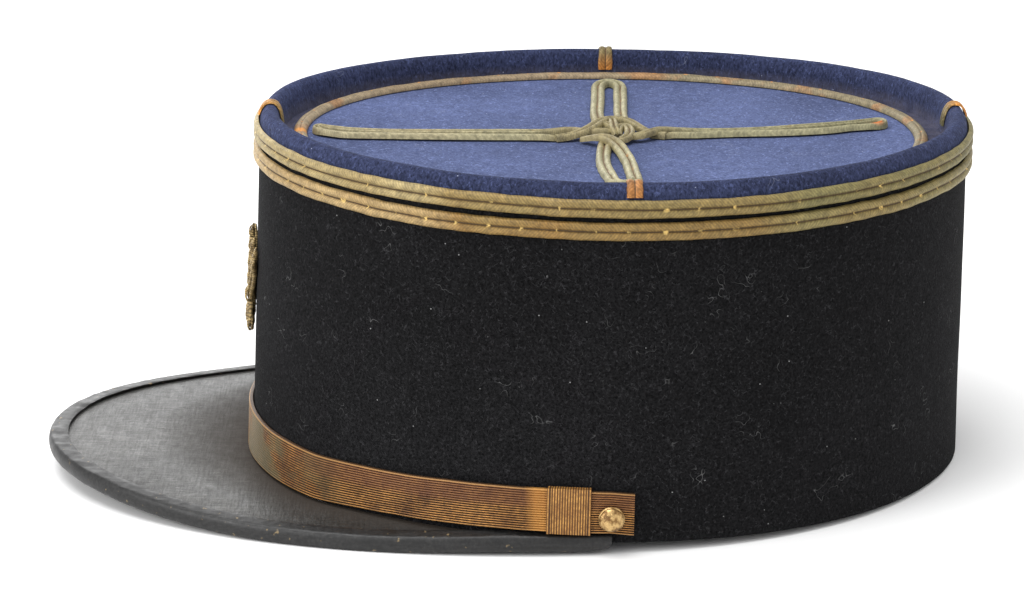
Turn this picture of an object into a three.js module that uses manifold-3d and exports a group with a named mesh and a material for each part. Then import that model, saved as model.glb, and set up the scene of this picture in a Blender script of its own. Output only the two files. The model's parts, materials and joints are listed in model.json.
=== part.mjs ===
// Kepi cap: a stiff oval band of dark cloth, a recessed crown disc inside a rolled rim,
// gold soutache braids, a crown knot, a bound leather peak and a gold chin strap.
// Millimetres, +Z up. The peak points to -Y and the wearer's left is +X. Everything is built with
// the band's foot on z = 0 round the origin, and the last lines lean the cap back as it rests on
// its peak and stand it on the floor.
import * as THREE from "three";
import { mergeVertices } from "three/addons/utils/BufferGeometryUtils.js";
import Module from "manifold-3d";

const wasm = await Module();
wasm.setup();

// General sizes
const GAP = 0.3; // clearance between pieces that are sewn or laid together
const ROUND = 56; // facets round the oval

// The oval of the cap: outer half length and half width at the foot and at the crown
const FOOT_HALF_LENGTH = 101;
const FOOT_HALF_WIDTH = 85;
const CROWN_HALF_LENGTH = 98.6;
const CROWN_HALF_WIDTH = 82.1;
const CROWN_SHIFT_BACK = 1; // the crown's oval sits a little further back than the foot's
const SADDLE = 1.9; // how much higher the crown's edge is at front and back than at the sides

// Heights of the crown
const CREST = 96; // top of the rolled rim at the sides
const RIM_HIGH = 6; // the rim's foot, and the band's top, lie this far below the crest
const DISC_DEPTH = 8; // the disc's face lies this far below the crest
const BAND_TOP = CREST - RIM_HIGH;
const DISC_TOP = CREST - DISC_DEPTH;

// Band
const BAND_WALL = 2.5;
const BAND_HEM = 0.7; // rounded edge at the foot
const FRONT_DIP = 1; // how far the foot drops at the front to meet the peak
const DIP_FROM = 20; // the drop starts this far in front of the middle
const DIP_TO = 62; // and is complete this far in front of it

// Rolled rim, whose cloth runs on flat to the seam under the ring braid, and the disc inside it
const RIM_WIDTH = 6; // from the band's outer face to the foot of the inner slope
const RIM_SPREAD = 0.37; // the slope's foot runs out this far before the cloth lies flat
const DISC_THICK = 2;

// Two soutache braids round the top of the band
const BRAID_HIGH = 4.8;
const BRAID_PROUD = 1.3; // thickness of a braid
const BRAID_SPACE = 1.15; // band shown between the two braids
const BRAID_DEPTH = 8.35; // the lower braid's lower edge below the band's top
const BRAID_LOW_EDGE = BAND_TOP - BRAID_DEPTH;
const GROOVE_SHARE = 0.35; // depth of the groove between a braid's two cords, of its thickness

// Braid ring over the seam between rim and disc
const RING_INSET = 8; // band's outer face to the ring's middle at the sides
const RING_DRAWN_FRONT = 3.3; // how much further in the ring lies at the front
const RING_DRAWN_BACK = 4.9; // and at the back
const RING_WIDE = 3.7;
const RING_THICK = 1.3;

// Four short braids over the rim, at front, back, left and right
const RIM_BRAID_WIDE = 4.2;
const RIM_BRAID_THICK = 0.6;
const LEFT_BRAID_BACK = 0.9; // the left one sits this far behind the middle
const RIGHT_BRAID_BACK = 2; // and the right one this far

// Crown knot
const KNOT_BACK = 1.6; // knot's middle behind the oval's middle
const FLAT_WIDE = 4.1; // a strand lying flat
const FLAT_THICK = 1.7;
const EDGE_WIDE = 2.1; // a strand turned on edge in the long loops
const EDGE_THICK = 2.2;
const FRONT_ARM = 84.7; // knot's middle to the outside of each loop's end
const BACK_ARM = 77.6;
const LEFT_ARM = 56;
const RIGHT_ARM = 65;
const LONG_LOOP = 1.25; // half the spacing of the two strands in a long loop
const SHORT_LOOP = 3.3; // half the spacing in a short one
const WEAVE = 10; // reach of the woven middle from the knot's middle
const FRONT_TURN = 0.05; // in radians: the front loop is turned this far to the left,
const BACK_TURN = 0.09; // the back loop to the right
const SIDE_TURN = 0.018; // and the side loops round towards front and back

// Peak
const PEAK_START = 3.95; // the widest place of its outline lies this far in front of the middle
const PEAK_END = 2.5; // its ends lie this far in front of the middle
const PEAK_ROUND = 7; // length of the rounded corner under each end
const PEAK_HALF_WIDTH = 86.6; // to the outside of the binding
const PEAK_LENGTH = 155.6; // from its ends to its tip
const PEAK_THICK = 2.5;
const PEAK_SAG = 3.3; // how far the middle of its edge hangs below the band's foot at its lowest
const PEAK_SEAT = 2.55; // how far the middle of its thickness lies below the band's foot at the front
const PEAK_END_DEPTH = 0.2; // share of its lower half that is left at the very ends
const PEAK_TUCK = 2.2; // how far the peak reaches in under the band
const TUCK_FROM = 90; // the tongue reaches under the band from this far in front of the middle
const TUCK_TO = 97; // and fully so from here
const PEAK_CROWN = 0.7; // arch of its top face between band and edge
const CROWN_FROM = 10; // the arch starts where the peak reaches this far out
const CROWN_TO = 40; // and is full from here
const PEAK_STEPS = 46;

// Leather binding round the peak's edge
const BINDING_WALL = 0.7;
const BINDING_WIDE = 5.5; // at the tip
const BINDING_SIDE_WIDE = 4.2; // and at the sides

// Chin strap, its two slides and the two buttons
const STRAP_HIGH = 11.6;
const STRAP_THICK = 1.1;
const STRAP_OFF_FRONT = 0.4; // strap's inner face to the band at the front
const STRAP_OFF_SIDE = 1.15; // and at the sides, where the slides pass behind it
const STRAP_STEPS = 46;
const SLIDE_WALL = 0.5;
const SLIDE_LONG = 11.3;
const SLIDE_FRONT = 19.4; // slide's front edge in front of the middle
const BUTTON_RADIUS = 3.5;
const BUTTON_HIGH = 2.7;
const BUTTON_FRONT = 2.8; // button's middle in front of the oval's middle
const BUTTON_HEIGHT = 7.7; // button's middle above the foot

// Embroidered badge at the front
const BADGE_MIDDLE = 46; // height of its middle above the foot
const BADGE_HIGH = 31;
const BADGE_WIDE = 30;
const BADGE_PROUD = 2.6;
const BALL_RADIUS = 5.6;

function finish(hex, roughness, metalness = 0) {
  return new THREE.MeshStandardMaterial({ color: hex, roughness, metalness });
}
const navyCloth = finish(0x11131b, 0.95);
const rimCloth = finish(0x2d3860, 0.95);
const blueCloth = finish(0x55659d, 0.95);
const goldBraid = finish(0x8a7a4c, 0.6, 0.3);
const blackLeather = finish(0x2a2c2d, 0.45);
const boundLeather = finish(0x1d1f21, 0.5);
const strapLace = finish(0x9a6c2f, 0.5, 0.4);
const bullion = finish(0x6f6238, 0.55, 0.4);
const brass = finish(0xb98b3c, 0.35, 0.9);

const cap = new THREE.Group();

function add(name, geometry, material) {
  const mesh = new THREE.Mesh(geometry, material);
  mesh.name = name;
  cap.add(mesh);
}

const corner = (x, y) => new THREE.Vector2(x, y);
const lerp = THREE.MathUtils.lerp;
const smooth = (from, to, value) => THREE.MathUtils.smoothstep(value, from, to);

// Keeps only the positions of a geometry, joins its shared corners and drops flat triangles,
// so that it is one closed skin
function weld(geometry) {
  geometry.deleteAttribute("normal");
  geometry.deleteAttribute("uv");
  const joined = mergeVertices(geometry, 1e-4);
  const old = joined.index.array;
  const kept = [];
  for (let i = 0; i < old.length; i += 3) {
    const [a, b, c] = [old[i], old[i + 1], old[i + 2]];
    if (a !== b && b !== c && c !== a) {
      kept.push(a, b, c);
    }
  }
  joined.setIndex(kept);
  return joined;
}

// Moves every corner of a straight shape to its place on the cap
function bend(geometry, place) {
  const welded = weld(geometry);
  const corners = welded.getAttribute("position");
  for (let i = 0; i < corners.count; i += 1) {
    const moved = place(new THREE.Vector3().fromBufferAttribute(corners, i));
    corners.setXYZ(i, moved.x, moved.y, moved.z);
  }
  return welded;
}

// Joins closed skins into one solid
function join(geometries) {
  const solids = geometries.map((geometry) => {
    const welded = weld(geometry);
    const vertProperties = Float32Array.from(welded.getAttribute("position").array);
    const triVerts = Uint32Array.from(welded.index.array);
    return new wasm.Manifold(new wasm.Mesh({ numProp: 3, vertProperties, triVerts }));
  });
  const mesh = solids.reduce((whole, next) => whole.add(next)).getMesh();
  const joined = new THREE.BufferGeometry();
  joined.setAttribute("position", new THREE.BufferAttribute(mesh.vertProperties, 3));
  joined.setIndex(new THREE.BufferAttribute(mesh.triVerts, 1));
  return joined;
}

// The band's outer oval at a height: the foot's oval turns evenly into the crown's
function ovalAt(height) {
  const share = height / CREST;
  return {
    length: lerp(FOOT_HALF_LENGTH, CROWN_HALF_LENGTH, share),
    width: lerp(FOOT_HALF_WIDTH, CROWN_HALF_WIDTH, share),
    back: CROWN_SHIFT_BACK * share,
  };
}

// The crown's saddle, which fades out towards the foot
function saddle(y, height) {
  const fade = THREE.MathUtils.clamp(height / BRAID_LOW_EDGE, 0, 1);
  return SADDLE * fade * (y / CROWN_HALF_LENGTH) ** 2;
}

// A point on the wall: turn is 0 at the front and a quarter circle at the wearer's left,
// out is the distance outwards from the band's outer face
function onWall(turn, out, height) {
  const oval = ovalAt(height);
  const x = oval.width * Math.sin(turn);
  const y = -oval.length * Math.cos(turn);
  const normal = corner(x / oval.width ** 2, y / oval.length ** 2).normalize();
  const at = new THREE.Vector3(x + normal.x * out, y + oval.back + normal.y * out, height);
  at.z += saddle(at.y, height);
  return at;
}

// The turn at which the foot's oval lies a given distance in front of the middle
const turnAt = (front) => Math.acos(front / FOOT_HALF_LENGTH);

// How much further in than at the sides the ring braid and its seam lie at a turn
function drawnIn(turn) {
  const front = Math.cos(turn);
  return front ** 2 * (front > 0 ? RING_DRAWN_FRONT : RING_DRAWN_BACK);
}

// A closed ring round the cap from a section whose corners are (out, height). Its corners further
// in than the start of the drawn part move with the ring braid.
function ringRound(section, drawnFrom = -FOOT_HALF_LENGTH) {
  const far = FOOT_HALF_LENGTH;
  const closed = [...section, section[0]].map((at) => corner(far + at.x, at.y));
  return bend(new THREE.LatheGeometry(closed, ROUND), (at) => {
    const turn = Math.atan2(at.x, at.z);
    const out = Math.hypot(at.x, at.z) - far;
    return onWall(turn, out < drawnFrom ? out - drawnIn(turn) : out, at.y);
  });
}

// A straight run of a section with its corners (across, up). Its depth counts the steps, so that
// a placing function can look each step up.
function straightRun(section, steps) {
  return new THREE.ExtrudeGeometry(new THREE.Shape(section), { depth: steps, steps, bevelEnabled: false });
}

// A run of a section round the wall, from a turn on the wearer's left to one on the right.
// place(turn, corner) gives the corner's point.
function runRound(section, from, to, steps, place) {
  return bend(straightRun(section, steps), (at) => place(lerp(from, to, at.z / steps), at));
}

// Section of a soutache braid: two round cords with a groove between them and a flat back.
// Its back lies on x = 0 and its middle on y = 0.
function soutache(wide, thick) {
  const half = wide / 2;
  return [
    corner(0, -half * 0.85),
    corner(thick * 0.62, -half),
    corner(thick, -half * 0.52),
    corner(thick * (1 - GROOVE_SHARE), 0),
    corner(thick, half * 0.52),
    corner(thick * 0.62, half),
    corner(0, half * 0.85),
  ];
}

// Band, with a rounded hem and a foot that dips at the front onto the peak
const footDip = (y) => FRONT_DIP * smooth(DIP_FROM, DIP_TO, -y);

function makeBand() {
  const wall = ringRound([
    corner(0, BAND_HEM),
    corner(0, BAND_TOP),
    corner(-BAND_WALL, BAND_TOP),
    corner(-BAND_WALL, BAND_HEM),
    corner(BAND_HEM - BAND_WALL, 0),
    corner(-BAND_HEM, 0),
  ]);
  return bend(wall, (at) => {
    if (at.z < BAND_TOP / 2) {
      at.z -= footDip(at.y);
    }
    return at;
  });
}

// The rolled rim's skin from the seam on the band, over the crest, to the foot of the inner slope:
// inset is a share of the rim's width, rise a share of the crest's height above the seam
const RIM_SEAM = BAND_TOP + GAP;
const RIM_ROLL = [
  { inset: 0, rise: 0 },
  { inset: 0.02, rise: 0.3 },
  { inset: 0.06, rise: 0.5 },
  { inset: 0.15, rise: 0.74 },
  { inset: 0.31, rise: 0.94 },
  { inset: 0.5, rise: 1 },
  { inset: 0.69, rise: 0.94 },
  { inset: 0.84, rise: 0.72 },
  { inset: 0.93, rise: 0.4 },
  { inset: 0.97, rise: 0.1 },
  { inset: 1, rise: -0.2 },
];

// The skin of the roll moved outwards along its own normals
function rimSkin(lift) {
  const high = CREST - RIM_SEAM;
  const rows = RIM_ROLL.map(({ inset, rise }) => corner(-inset * RIM_WIDTH, RIM_SEAM + rise * high));
  return rows.map((at, i) => {
    const before = rows[Math.max(i - 1, 0)];
    const after = rows[Math.min(i + 1, rows.length - 1)];
    const along = after.clone().sub(before).normalize();
    return corner(at.x + along.y * lift, at.y - along.x * lift);
  });
}

// Rim: the roll and the flat cloth from its foot to the seam under the ring braid
function makeRim() {
  const under = DISC_TOP - DISC_THICK;
  const foot = RIM_WIDTH + RIM_SPREAD;
  const section = [
    ...rimSkin(0),
    corner(-foot, DISC_TOP),
    corner(-RING_INSET, DISC_TOP),
    corner(-RING_INSET, under),
    corner(-BAND_WALL - GAP, under),
    corner(-BAND_WALL - GAP, RIM_SEAM),
  ];
  return ringRound(section, -(foot + RING_INSET) / 2);
}

// Disc inside the seam, a thin cloth-covered slab that follows the saddle
function makeDisc() {
  const far = FOOT_HALF_LENGTH;
  const rings = [0.4, 0.75, 1];
  const under = DISC_TOP - DISC_THICK;
  const profile = [
    corner(0, under),
    ...rings.map((share) => corner(share * far, under)),
    ...rings.toReversed().map((share) => corner(share * far, DISC_TOP)),
    corner(0, DISC_TOP),
  ];
  return bend(new THREE.LatheGeometry(profile, ROUND), (at) => {
    const share = Math.hypot(at.x, at.z) / far;
    const turn = Math.atan2(at.x, at.z);
    const edge = onWall(turn, -RING_INSET - drawnIn(turn) - GAP, at.y);
    const back = ovalAt(at.y).back;
    const y = lerp(back, edge.y, share);
    return new THREE.Vector3(edge.x * share, y, at.y + saddle(y, at.y));
  });
}

// A braid round the wall whose lower edge is at a height
function makeWallBraid(lowEdge) {
  const middle = lowEdge + BRAID_HIGH / 2;
  return ringRound(soutache(BRAID_HIGH, BRAID_PROUD).map((at) => corner(GAP + at.x, middle + at.y)));
}

function makeRingBraid() {
  const section = soutache(RING_WIDE, RING_THICK).reverse();
  return ringRound(section.map((at) => corner(at.y - RING_INSET, DISC_TOP + GAP + at.x)), 0);
}

// A short braid that climbs from the upper wall braid over the rim to the ring braid. Its steps are
// rows of the roll's skin.
const RIM_BRAID_ROWS = [2, RIM_ROLL.length - 2]; // first and last row

function makeRimBraid(turn) {
  const [first, last] = RIM_BRAID_ROWS;
  const section = soutache(1, 1).map((at) => corner(at.y, at.x));
  return bend(straightRun(section, last - first), (at) => {
    const skin = rimSkin(GAP + at.y * RIM_BRAID_THICK)[first + Math.round(at.z)];
    const place = onWall(turn, skin.x, skin.y);
    const along = onWall(turn + 0.001, skin.x, skin.y).sub(place).setZ(0).normalize();
    return place.addScaledVector(along, -at.x * RIM_BRAID_WIDE);
  });
}

// One strand of the knot, laid through stations { x, y, rise, wide, thick } from the knot's middle
function makeStrand(stations) {
  const steps = stations.length - 1;
  const spots = stations.map(({ x, y, rise }) => {
    const back = y + KNOT_BACK;
    return new THREE.Vector3(x, back, DISC_TOP + GAP + saddle(back, DISC_TOP) + rise);
  });
  const section = soutache(1, 1).map((at) => corner(at.y, at.x));
  return bend(straightRun(section, steps), (at) => {
    const i = Math.round(at.z);
    const ahead = spots[Math.min(i + 1, steps)].clone().sub(spots[Math.max(i - 1, 0)]).setZ(0).normalize();
    const aside = new THREE.Vector3(-ahead.y, ahead.x, 0);
    const place = spots[i].clone().addScaledVector(aside, at.x * stations[i].wide);
    place.z += at.y * stations[i].thick;
    return place;
  });
}

// A long, narrow loop that leaves the knot in a direction: out along one side, round its end and
// back along the other
function makeLoop({ direction, reach, half, wide, thick }) {
  const legs = [WEAVE * 0.55, WEAVE, reach * 0.6];
  const bendMiddle = reach - wide / 2 - half;
  const outward = legs.map((along) => ({ along, across: -half }));
  const turns = [0, 0.2, 0.4, 0.6, 0.8, 1].map((share) => share * Math.PI);
  const round = turns.map((angle) => ({
    along: bendMiddle + half * Math.sin(angle),
    across: -half * Math.cos(angle),
  }));
  const inward = legs.toReversed().map((along) => ({ along, across: half }));
  const stations = [...outward, ...round, ...inward].map(({ along, across }) => ({
    x: Math.cos(direction) * along - Math.sin(direction) * across,
    y: Math.sin(direction) * along + Math.cos(direction) * across,
    rise: 0,
    wide,
    thick,
  }));
  return makeStrand(stations);
}

// A strand of the woven middle, drawn through rows { x, y, rise }: x and y are shares of the
// weave's reach, rise a share of a strand's thickness
function makeWeave(rows, wide) {
  const points = rows.map((row) => new THREE.Vector3(row.x * WEAVE, row.y * WEAVE, row.rise * FLAT_THICK));
  const steps = 3 * (rows.length - 1);
  const curve = new THREE.CatmullRomCurve3(points);
  const stations = curve.getPoints(steps).map(({ x, y, z }) => ({ x, y, rise: z, wide, thick: FLAT_THICK }));
  return makeStrand(stations);
}

const FAR_ARCH = [
  { x: 0.1, y: -1.35, rise: 0 },
  { x: -0.6, y: -0.95, rise: 0.35 },
  { x: -1.3, y: -0.35, rise: 0.75 },
  { x: -1.55, y: 0.2, rise: 0.8 },
  { x: -1.2, y: 0.75, rise: 0.75 },
  { x: -0.5, y: 1.05, rise: 0.4 },
  { x: 0.1, y: 1.4, rise: 0 },
];
const NEAR_ARCH = [
  { x: 1.9, y: 0.27, rise: 0 },
  { x: 1.2, y: 0.05, rise: 0.5 },
  { x: 0.6, y: -0.2, rise: 1 },
  { x: 0.35, y: -0.6, rise: 0.8 },
  { x: 0.65, y: -1, rise: 0.1 },
];
const FRONT_TUCK = [
  { x: 0.2, y: -1.5, rise: 0.3 },
  { x: 0.05, y: -0.9, rise: 0.75 },
  { x: -0.45, y: -0.3, rise: 1 },
  { x: -0.5, y: 0.25, rise: 0.9 },
];
const BACK_BUMP = [
  { x: -0.75, y: 0.1, rise: 0.9 },
  { x: -0.4, y: 0.55, rise: 1.15 },
  { x: 0.3, y: 0.6, rise: 1 },
  { x: 0.75, y: 0.3, rise: 0.5 },
];

function makeKnot() {
  const long = { half: LONG_LOOP, wide: EDGE_WIDE, thick: EDGE_THICK };
  const short = { half: SHORT_LOOP, wide: FLAT_WIDE, thick: FLAT_THICK };
  return join([
    makeLoop({ direction: FRONT_TURN - Math.PI / 2, reach: FRONT_ARM, ...long }),
    makeLoop({ direction: Math.PI / 2 + BACK_TURN, reach: BACK_ARM, ...long }),
    makeLoop({ direction: -SIDE_TURN, reach: LEFT_ARM, ...short }),
    makeLoop({ direction: Math.PI - SIDE_TURN, reach: RIGHT_ARM, ...short }),
    makeWeave(FAR_ARCH, FLAT_WIDE),
    makeWeave(NEAR_ARCH, FLAT_WIDE),
    makeWeave(FRONT_TUCK, FLAT_WIDE),
    makeWeave(BACK_BUMP, FLAT_WIDE),
  ]);
}

// Peak: how far its outer edge is from the band along the wall's normal at a turn
function peakReach(turn) {
  const from = onWall(turn, 0, 0);
  const normal = onWall(turn, 1, 0).sub(from);
  const [a, b] = [PEAK_HALF_WIDTH, PEAK_LENGTH];
  const y = from.y + PEAK_START;
  const square = (normal.x / a) ** 2 + (normal.y / b) ** 2;
  const linear = (from.x * normal.x) / a ** 2 + (y * normal.y) / b ** 2;
  const constant = (from.x / a) ** 2 + (y / b) ** 2 - 1;
  return (Math.sqrt(linear ** 2 - square * constant) - linear) / square;
}

// A smooth curve through evenly spaced shares of a size, read at a share of the way along them
function smoothRow(size, shares) {
  const curve = new THREE.SplineCurve(shares.map((share, i) => corner(i, share * size)));
  return (share) => curve.getPoint(THREE.MathUtils.clamp(share, 0, 1)).y;
}

// Heights of the middle of the peak's thickness above the band's foot: along its outer edge from
// the ends to the tip, and where it meets the band from the ends to the front
const EDGE_HEIGHTS = [0.106, -0.091, -0.288, -0.606, -0.864, -0.97, -1, -0.864, -0.561, -0.182, 0.121];
const FOOT_HEIGHTS = [0, 0.02, 0.02, 0.1, -0.04, -0.08, -0.14, -0.39, -0.84, -1, -1];
const edgeHeight = smoothRow(PEAK_SAG, EDGE_HEIGHTS);
const footHeight = smoothRow(PEAK_SEAT, FOOT_HEIGHTS);

// Height of the middle of the peak's thickness at a distance from the band
function peakMiddle(turn, out) {
  const reach = peakReach(turn);
  const edge = edgeHeight((-PEAK_START - onWall(turn, reach, 0).y) / PEAK_LENGTH);
  const foot = footHeight(-onWall(turn, 0, 0).y / FOOT_HALF_LENGTH);
  const share = THREE.MathUtils.clamp(out / reach, 0, 1);
  const crown = PEAK_CROWN * smooth(CROWN_FROM, CROWN_TO, reach);
  return lerp(foot, edge, share) + 4 * crown * share * (1 - share);
}

const PEAK_TURN = turnAt(PEAK_END);
const PEAK_ACROSS = [0, 0.25, 0.6, 1];

// Under each end the peak's lower corner is rounded: the share of its depth left at a turn
function endDepth(turn) {
  const front = -onWall(turn, 0, 0).y - PEAK_END;
  const share = THREE.MathUtils.clamp(front / PEAK_ROUND, 0, 1);
  return lerp(PEAK_END_DEPTH, 1, Math.sqrt(1 - (1 - share) ** 2));
}

// Raises the corners of a section below its middle where the end is rounded, and leaves the walls
// under the depth given as thick as they are
function roundEnd(turn, height, depth) {
  return height + Math.min(Math.max(-height, 0), depth) * (1 - endDepth(turn));
}

// The peak's section counts along x: 0 and 1 are the tongue under the band, the rest the leaf
// outside it. Its underside is y = 0 and its top y = 1.
function makePeak() {
  const last = PEAK_ACROSS.length + 1;
  const columns = [...Array(last + 1).keys()];
  const section = [...columns.map((i) => corner(i, 0)), ...columns.toReversed().map((i) => corner(i, 1))];
  return runRound(section, PEAK_TURN, -PEAK_TURN, PEAK_STEPS, (turn, at) => {
    const column = Math.round(at.x);
    const wallY = onWall(turn, 0, 0).y;
    const edge = peakReach(turn) - BINDING_WALL - GAP;
    const start = GAP + Math.min(GAP, (edge - GAP) * 0.3);
    const half = roundEnd(turn, (at.y - 0.5) * PEAK_THICK, PEAK_THICK / 2);
    if (column > 1) {
      const out = lerp(start, edge, PEAK_ACROSS[column - 2]);
      return onWall(turn, out, peakMiddle(turn, out) + half);
    }
    const tucked = smooth(TUCK_FROM, TUCK_TO, -wallY);
    const out = column === 1 ? GAP : GAP / 2 - (PEAK_TUCK + GAP / 2) * tucked;
    const under = -footDip(wallY) - GAP - PEAK_THICK / 2;
    return onWall(turn, out, lerp(peakMiddle(turn, start), under, tucked) + half);
  });
}

// Binding: a strip folded round the peak's edge. Its section is (distance in from the edge, height
// from the middle of the peak's thickness).
function makeBinding() {
  const inside = PEAK_THICK / 2 + GAP;
  const outside = inside + BINDING_WALL;
  const round = outside * 0.55;
  const section = [
    corner(BINDING_WIDE, -outside),
    corner(round, -outside),
    corner(round * 0.3, -round),
    corner(0, 0),
    corner(round * 0.3, round),
    corner(round, outside),
    corner(BINDING_WIDE, outside),
    corner(BINDING_WIDE, inside),
    corner(BINDING_WALL, inside),
    corner(BINDING_WALL, -inside),
    corner(BINDING_WIDE, -inside),
  ].map((at) => corner(-at.x, at.y));
  return runRound(section, PEAK_TURN, -PEAK_TURN, PEAK_STEPS, (turn, at) => {
    const reach = peakReach(turn);
    const narrow = lerp(BINDING_SIDE_WIDE, BINDING_WIDE, Math.cos(turn) ** 2) / BINDING_WIDE;
    const inset = -at.x > round ? -at.x * narrow : -at.x;
    const out = Math.max(reach - inset, Math.min(2 * GAP, reach - BINDING_WALL - GAP / 2));
    return onWall(turn, out, peakMiddle(turn, out) + roundEnd(turn, at.y, inside));
  });
}

// Chin strap: its lower and upper edge above the band's foot, as shares of its height, at
// distances in front of the middle, as shares of the foot's half length
const STRAP_ROWS = [
  { front: -0.03, low: 0.24, high: 1.22 },
  { front: 0.03, low: 0.3, high: 1.27 },
  { front: 0.2, low: 0.29, high: 1.3 },
  { front: 0.33, low: 0.28, high: 1.29 },
  { front: 0.45, low: 0.25, high: 1.265 },
  { front: 0.58, low: 0.21, high: 1.21 },
  { front: 0.67, low: 0.15, high: 1.17 },
  { front: 0.74, low: 0.08, high: 1.125 },
  { front: 0.8, low: 0, high: 1.07 },
  { front: 0.88, low: -0.03, high: 1.06 },
  { front: 0.94, low: -0.035, high: 1.05 },
  { front: 1, low: -0.07, high: 1.06 },
];

function strapAt(turn) {
  const front = Math.cos(turn);
  const next = Math.max(STRAP_ROWS.findIndex((row) => row.front >= front - 1e-9), 1);
  const [before, after] = [STRAP_ROWS[next - 1], STRAP_ROWS[next]];
  const share = (front - before.front) / (after.front - before.front);
  return {
    low: lerp(before.low, after.low, share) * STRAP_HIGH,
    high: lerp(before.high, after.high, share) * STRAP_HIGH,
    off: lerp(STRAP_OFF_FRONT, STRAP_OFF_SIDE, smooth(0.5, 1.25, Math.abs(turn))),
  };
}

const STRAP_TURN = Math.acos(STRAP_ROWS[0].front);

function makeStrap() {
  const section = [
    corner(0, 0.03),
    corner(0.5, 0),
    corner(1, 0.03),
    corner(1, 0.97),
    corner(0.5, 1),
    corner(0, 0.97),
  ];
  return runRound(section, STRAP_TURN, -STRAP_TURN, STRAP_STEPS, (turn, at) => {
    const { low, high, off } = strapAt(turn);
    return onWall(turn, off + at.x * STRAP_THICK, lerp(low, high, at.y));
  });
}

// A flat sleeve of folded lace round the strap, on the wearer's left (side 1) or right (side -1)
function makeSlide(side) {
  const { low, high } = strapAt(turnAt(SLIDE_FRONT));
  const box = (grow) => [
    corner(-grow, low - grow),
    corner(STRAP_THICK + grow, low - grow),
    corner(STRAP_THICK + grow, high + grow),
    corner(-grow, high + grow),
  ];
  const sleeve = new THREE.Shape(box(GAP + SLIDE_WALL));
  sleeve.holes.push(new THREE.Path(box(GAP).reverse()));
  const steps = 4;
  const frontTurn = turnAt(SLIDE_FRONT);
  const backTurn = turnAt(SLIDE_FRONT - SLIDE_LONG);
  const [from, to] = side > 0 ? [backTurn, frontTurn] : [-frontTurn, -backTurn];
  const run = new THREE.ExtrudeGeometry(sleeve, { depth: steps, steps, bevelEnabled: false });
  return bend(run, (at) => onWall(lerp(from, to, at.z / steps), STRAP_OFF_SIDE + at.x, at.y));
}

// Domed button on the strap, with a rolled rim and a raised boss: its profile is (radius, height)
// as shares of the button's radius and height
const BUTTON_PROFILE = [
  { radius: 0, high: 0 },
  { radius: 0.86, high: 0 },
  { radius: 1, high: 0.16 },
  { radius: 0.97, high: 0.34 },
  { radius: 0.78, high: 0.66 },
  { radius: 0.5, high: 0.86 },
  { radius: 0.34, high: 0.88 },
  { radius: 0.26, high: 1 },
  { radius: 0, high: 1 },
];

function makeButton(side) {
  const turn = side * turnAt(BUTTON_FRONT);
  const profile = BUTTON_PROFILE.map((row) => corner(row.radius * BUTTON_RADIUS, row.high * BUTTON_HIGH));
  const off = STRAP_OFF_SIDE + STRAP_THICK + GAP;
  const seat = onWall(turn, off, BUTTON_HEIGHT);
  const outward = onWall(turn, off + 1, BUTTON_HEIGHT).sub(seat).normalize();
  const turnOut = new THREE.Quaternion().setFromUnitVectors(new THREE.Vector3(0, 1, 0), outward);
  const dome = new THREE.LatheGeometry(profile, 12);
  return bend(dome, (at) => at.applyQuaternion(turnOut).add(seat));
}

// Badge: a ball with a burst of seven flames, worked flat as (across, up, out) and laid on the band
const FLAMES = [
  { lean: 0, long: 1 },
  { lean: 0.3, long: 0.92 },
  { lean: -0.3, long: 0.92 },
  { lean: 0.62, long: 0.86 },
  { lean: -0.62, long: 0.86 },
  { lean: 0.95, long: 0.72 },
  { lean: -0.95, long: 0.72 },
];

function makeFlame({ lean, long }) {
  const height = (BADGE_HIGH - BALL_RADIUS) * long;
  const half = BADGE_WIDE / 11;
  const tip = BADGE_WIDE / 2 - half;
  const outline = [
    corner(-half * 0.5, 0),
    corner(half * 0.5, 0),
    corner(half, height * 0.45),
    corner(half * 0.6, height * 0.75),
    corner(0, height),
    corner(-half * 0.6, height * 0.75),
    corner(-half, height * 0.45),
  ];
  const leaf = new THREE.ExtrudeGeometry(new THREE.Shape(outline), {
    depth: BADGE_PROUD * 0.45,
    bevelThickness: BADGE_PROUD * 0.15,
    bevelSize: half * 0.25,
    bevelSegments: 1,
  });
  leaf.translate(0, 0, BADGE_PROUD * 0.15);
  return bend(leaf, (at) => {
    const spread = THREE.MathUtils.clamp(at.y / height, 0, 1) ** 1.3;
    at.x += Math.sign(lean) * Math.min(Math.abs(Math.sin(lean)) * height, tip) * spread;
    at.y *= lerp(1, Math.cos(lean), 0.35);
    return at;
  });
}

function makeBadge() {
  const ball = new THREE.SphereGeometry(BALL_RADIUS, 16, 8);
  ball.scale(1, 1, BADGE_PROUD / (2 * BALL_RADIUS));
  ball.translate(0, 0, BADGE_PROUD / 2);
  const flat = join([ball, ...FLAMES.map(makeFlame)]);
  const foot = BADGE_MIDDLE - BADGE_HIGH / 2 + BALL_RADIUS;
  return bend(flat, (at) => {
    const height = foot + at.y;
    return onWall(Math.asin(at.x / ovalAt(height).width), GAP + at.z, height);
  });
}

const braidTop = BRAID_LOW_EDGE + BRAID_HIGH + BRAID_SPACE;
const sideTurn = (back) => Math.PI / 2 + back / CROWN_HALF_LENGTH;

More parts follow.
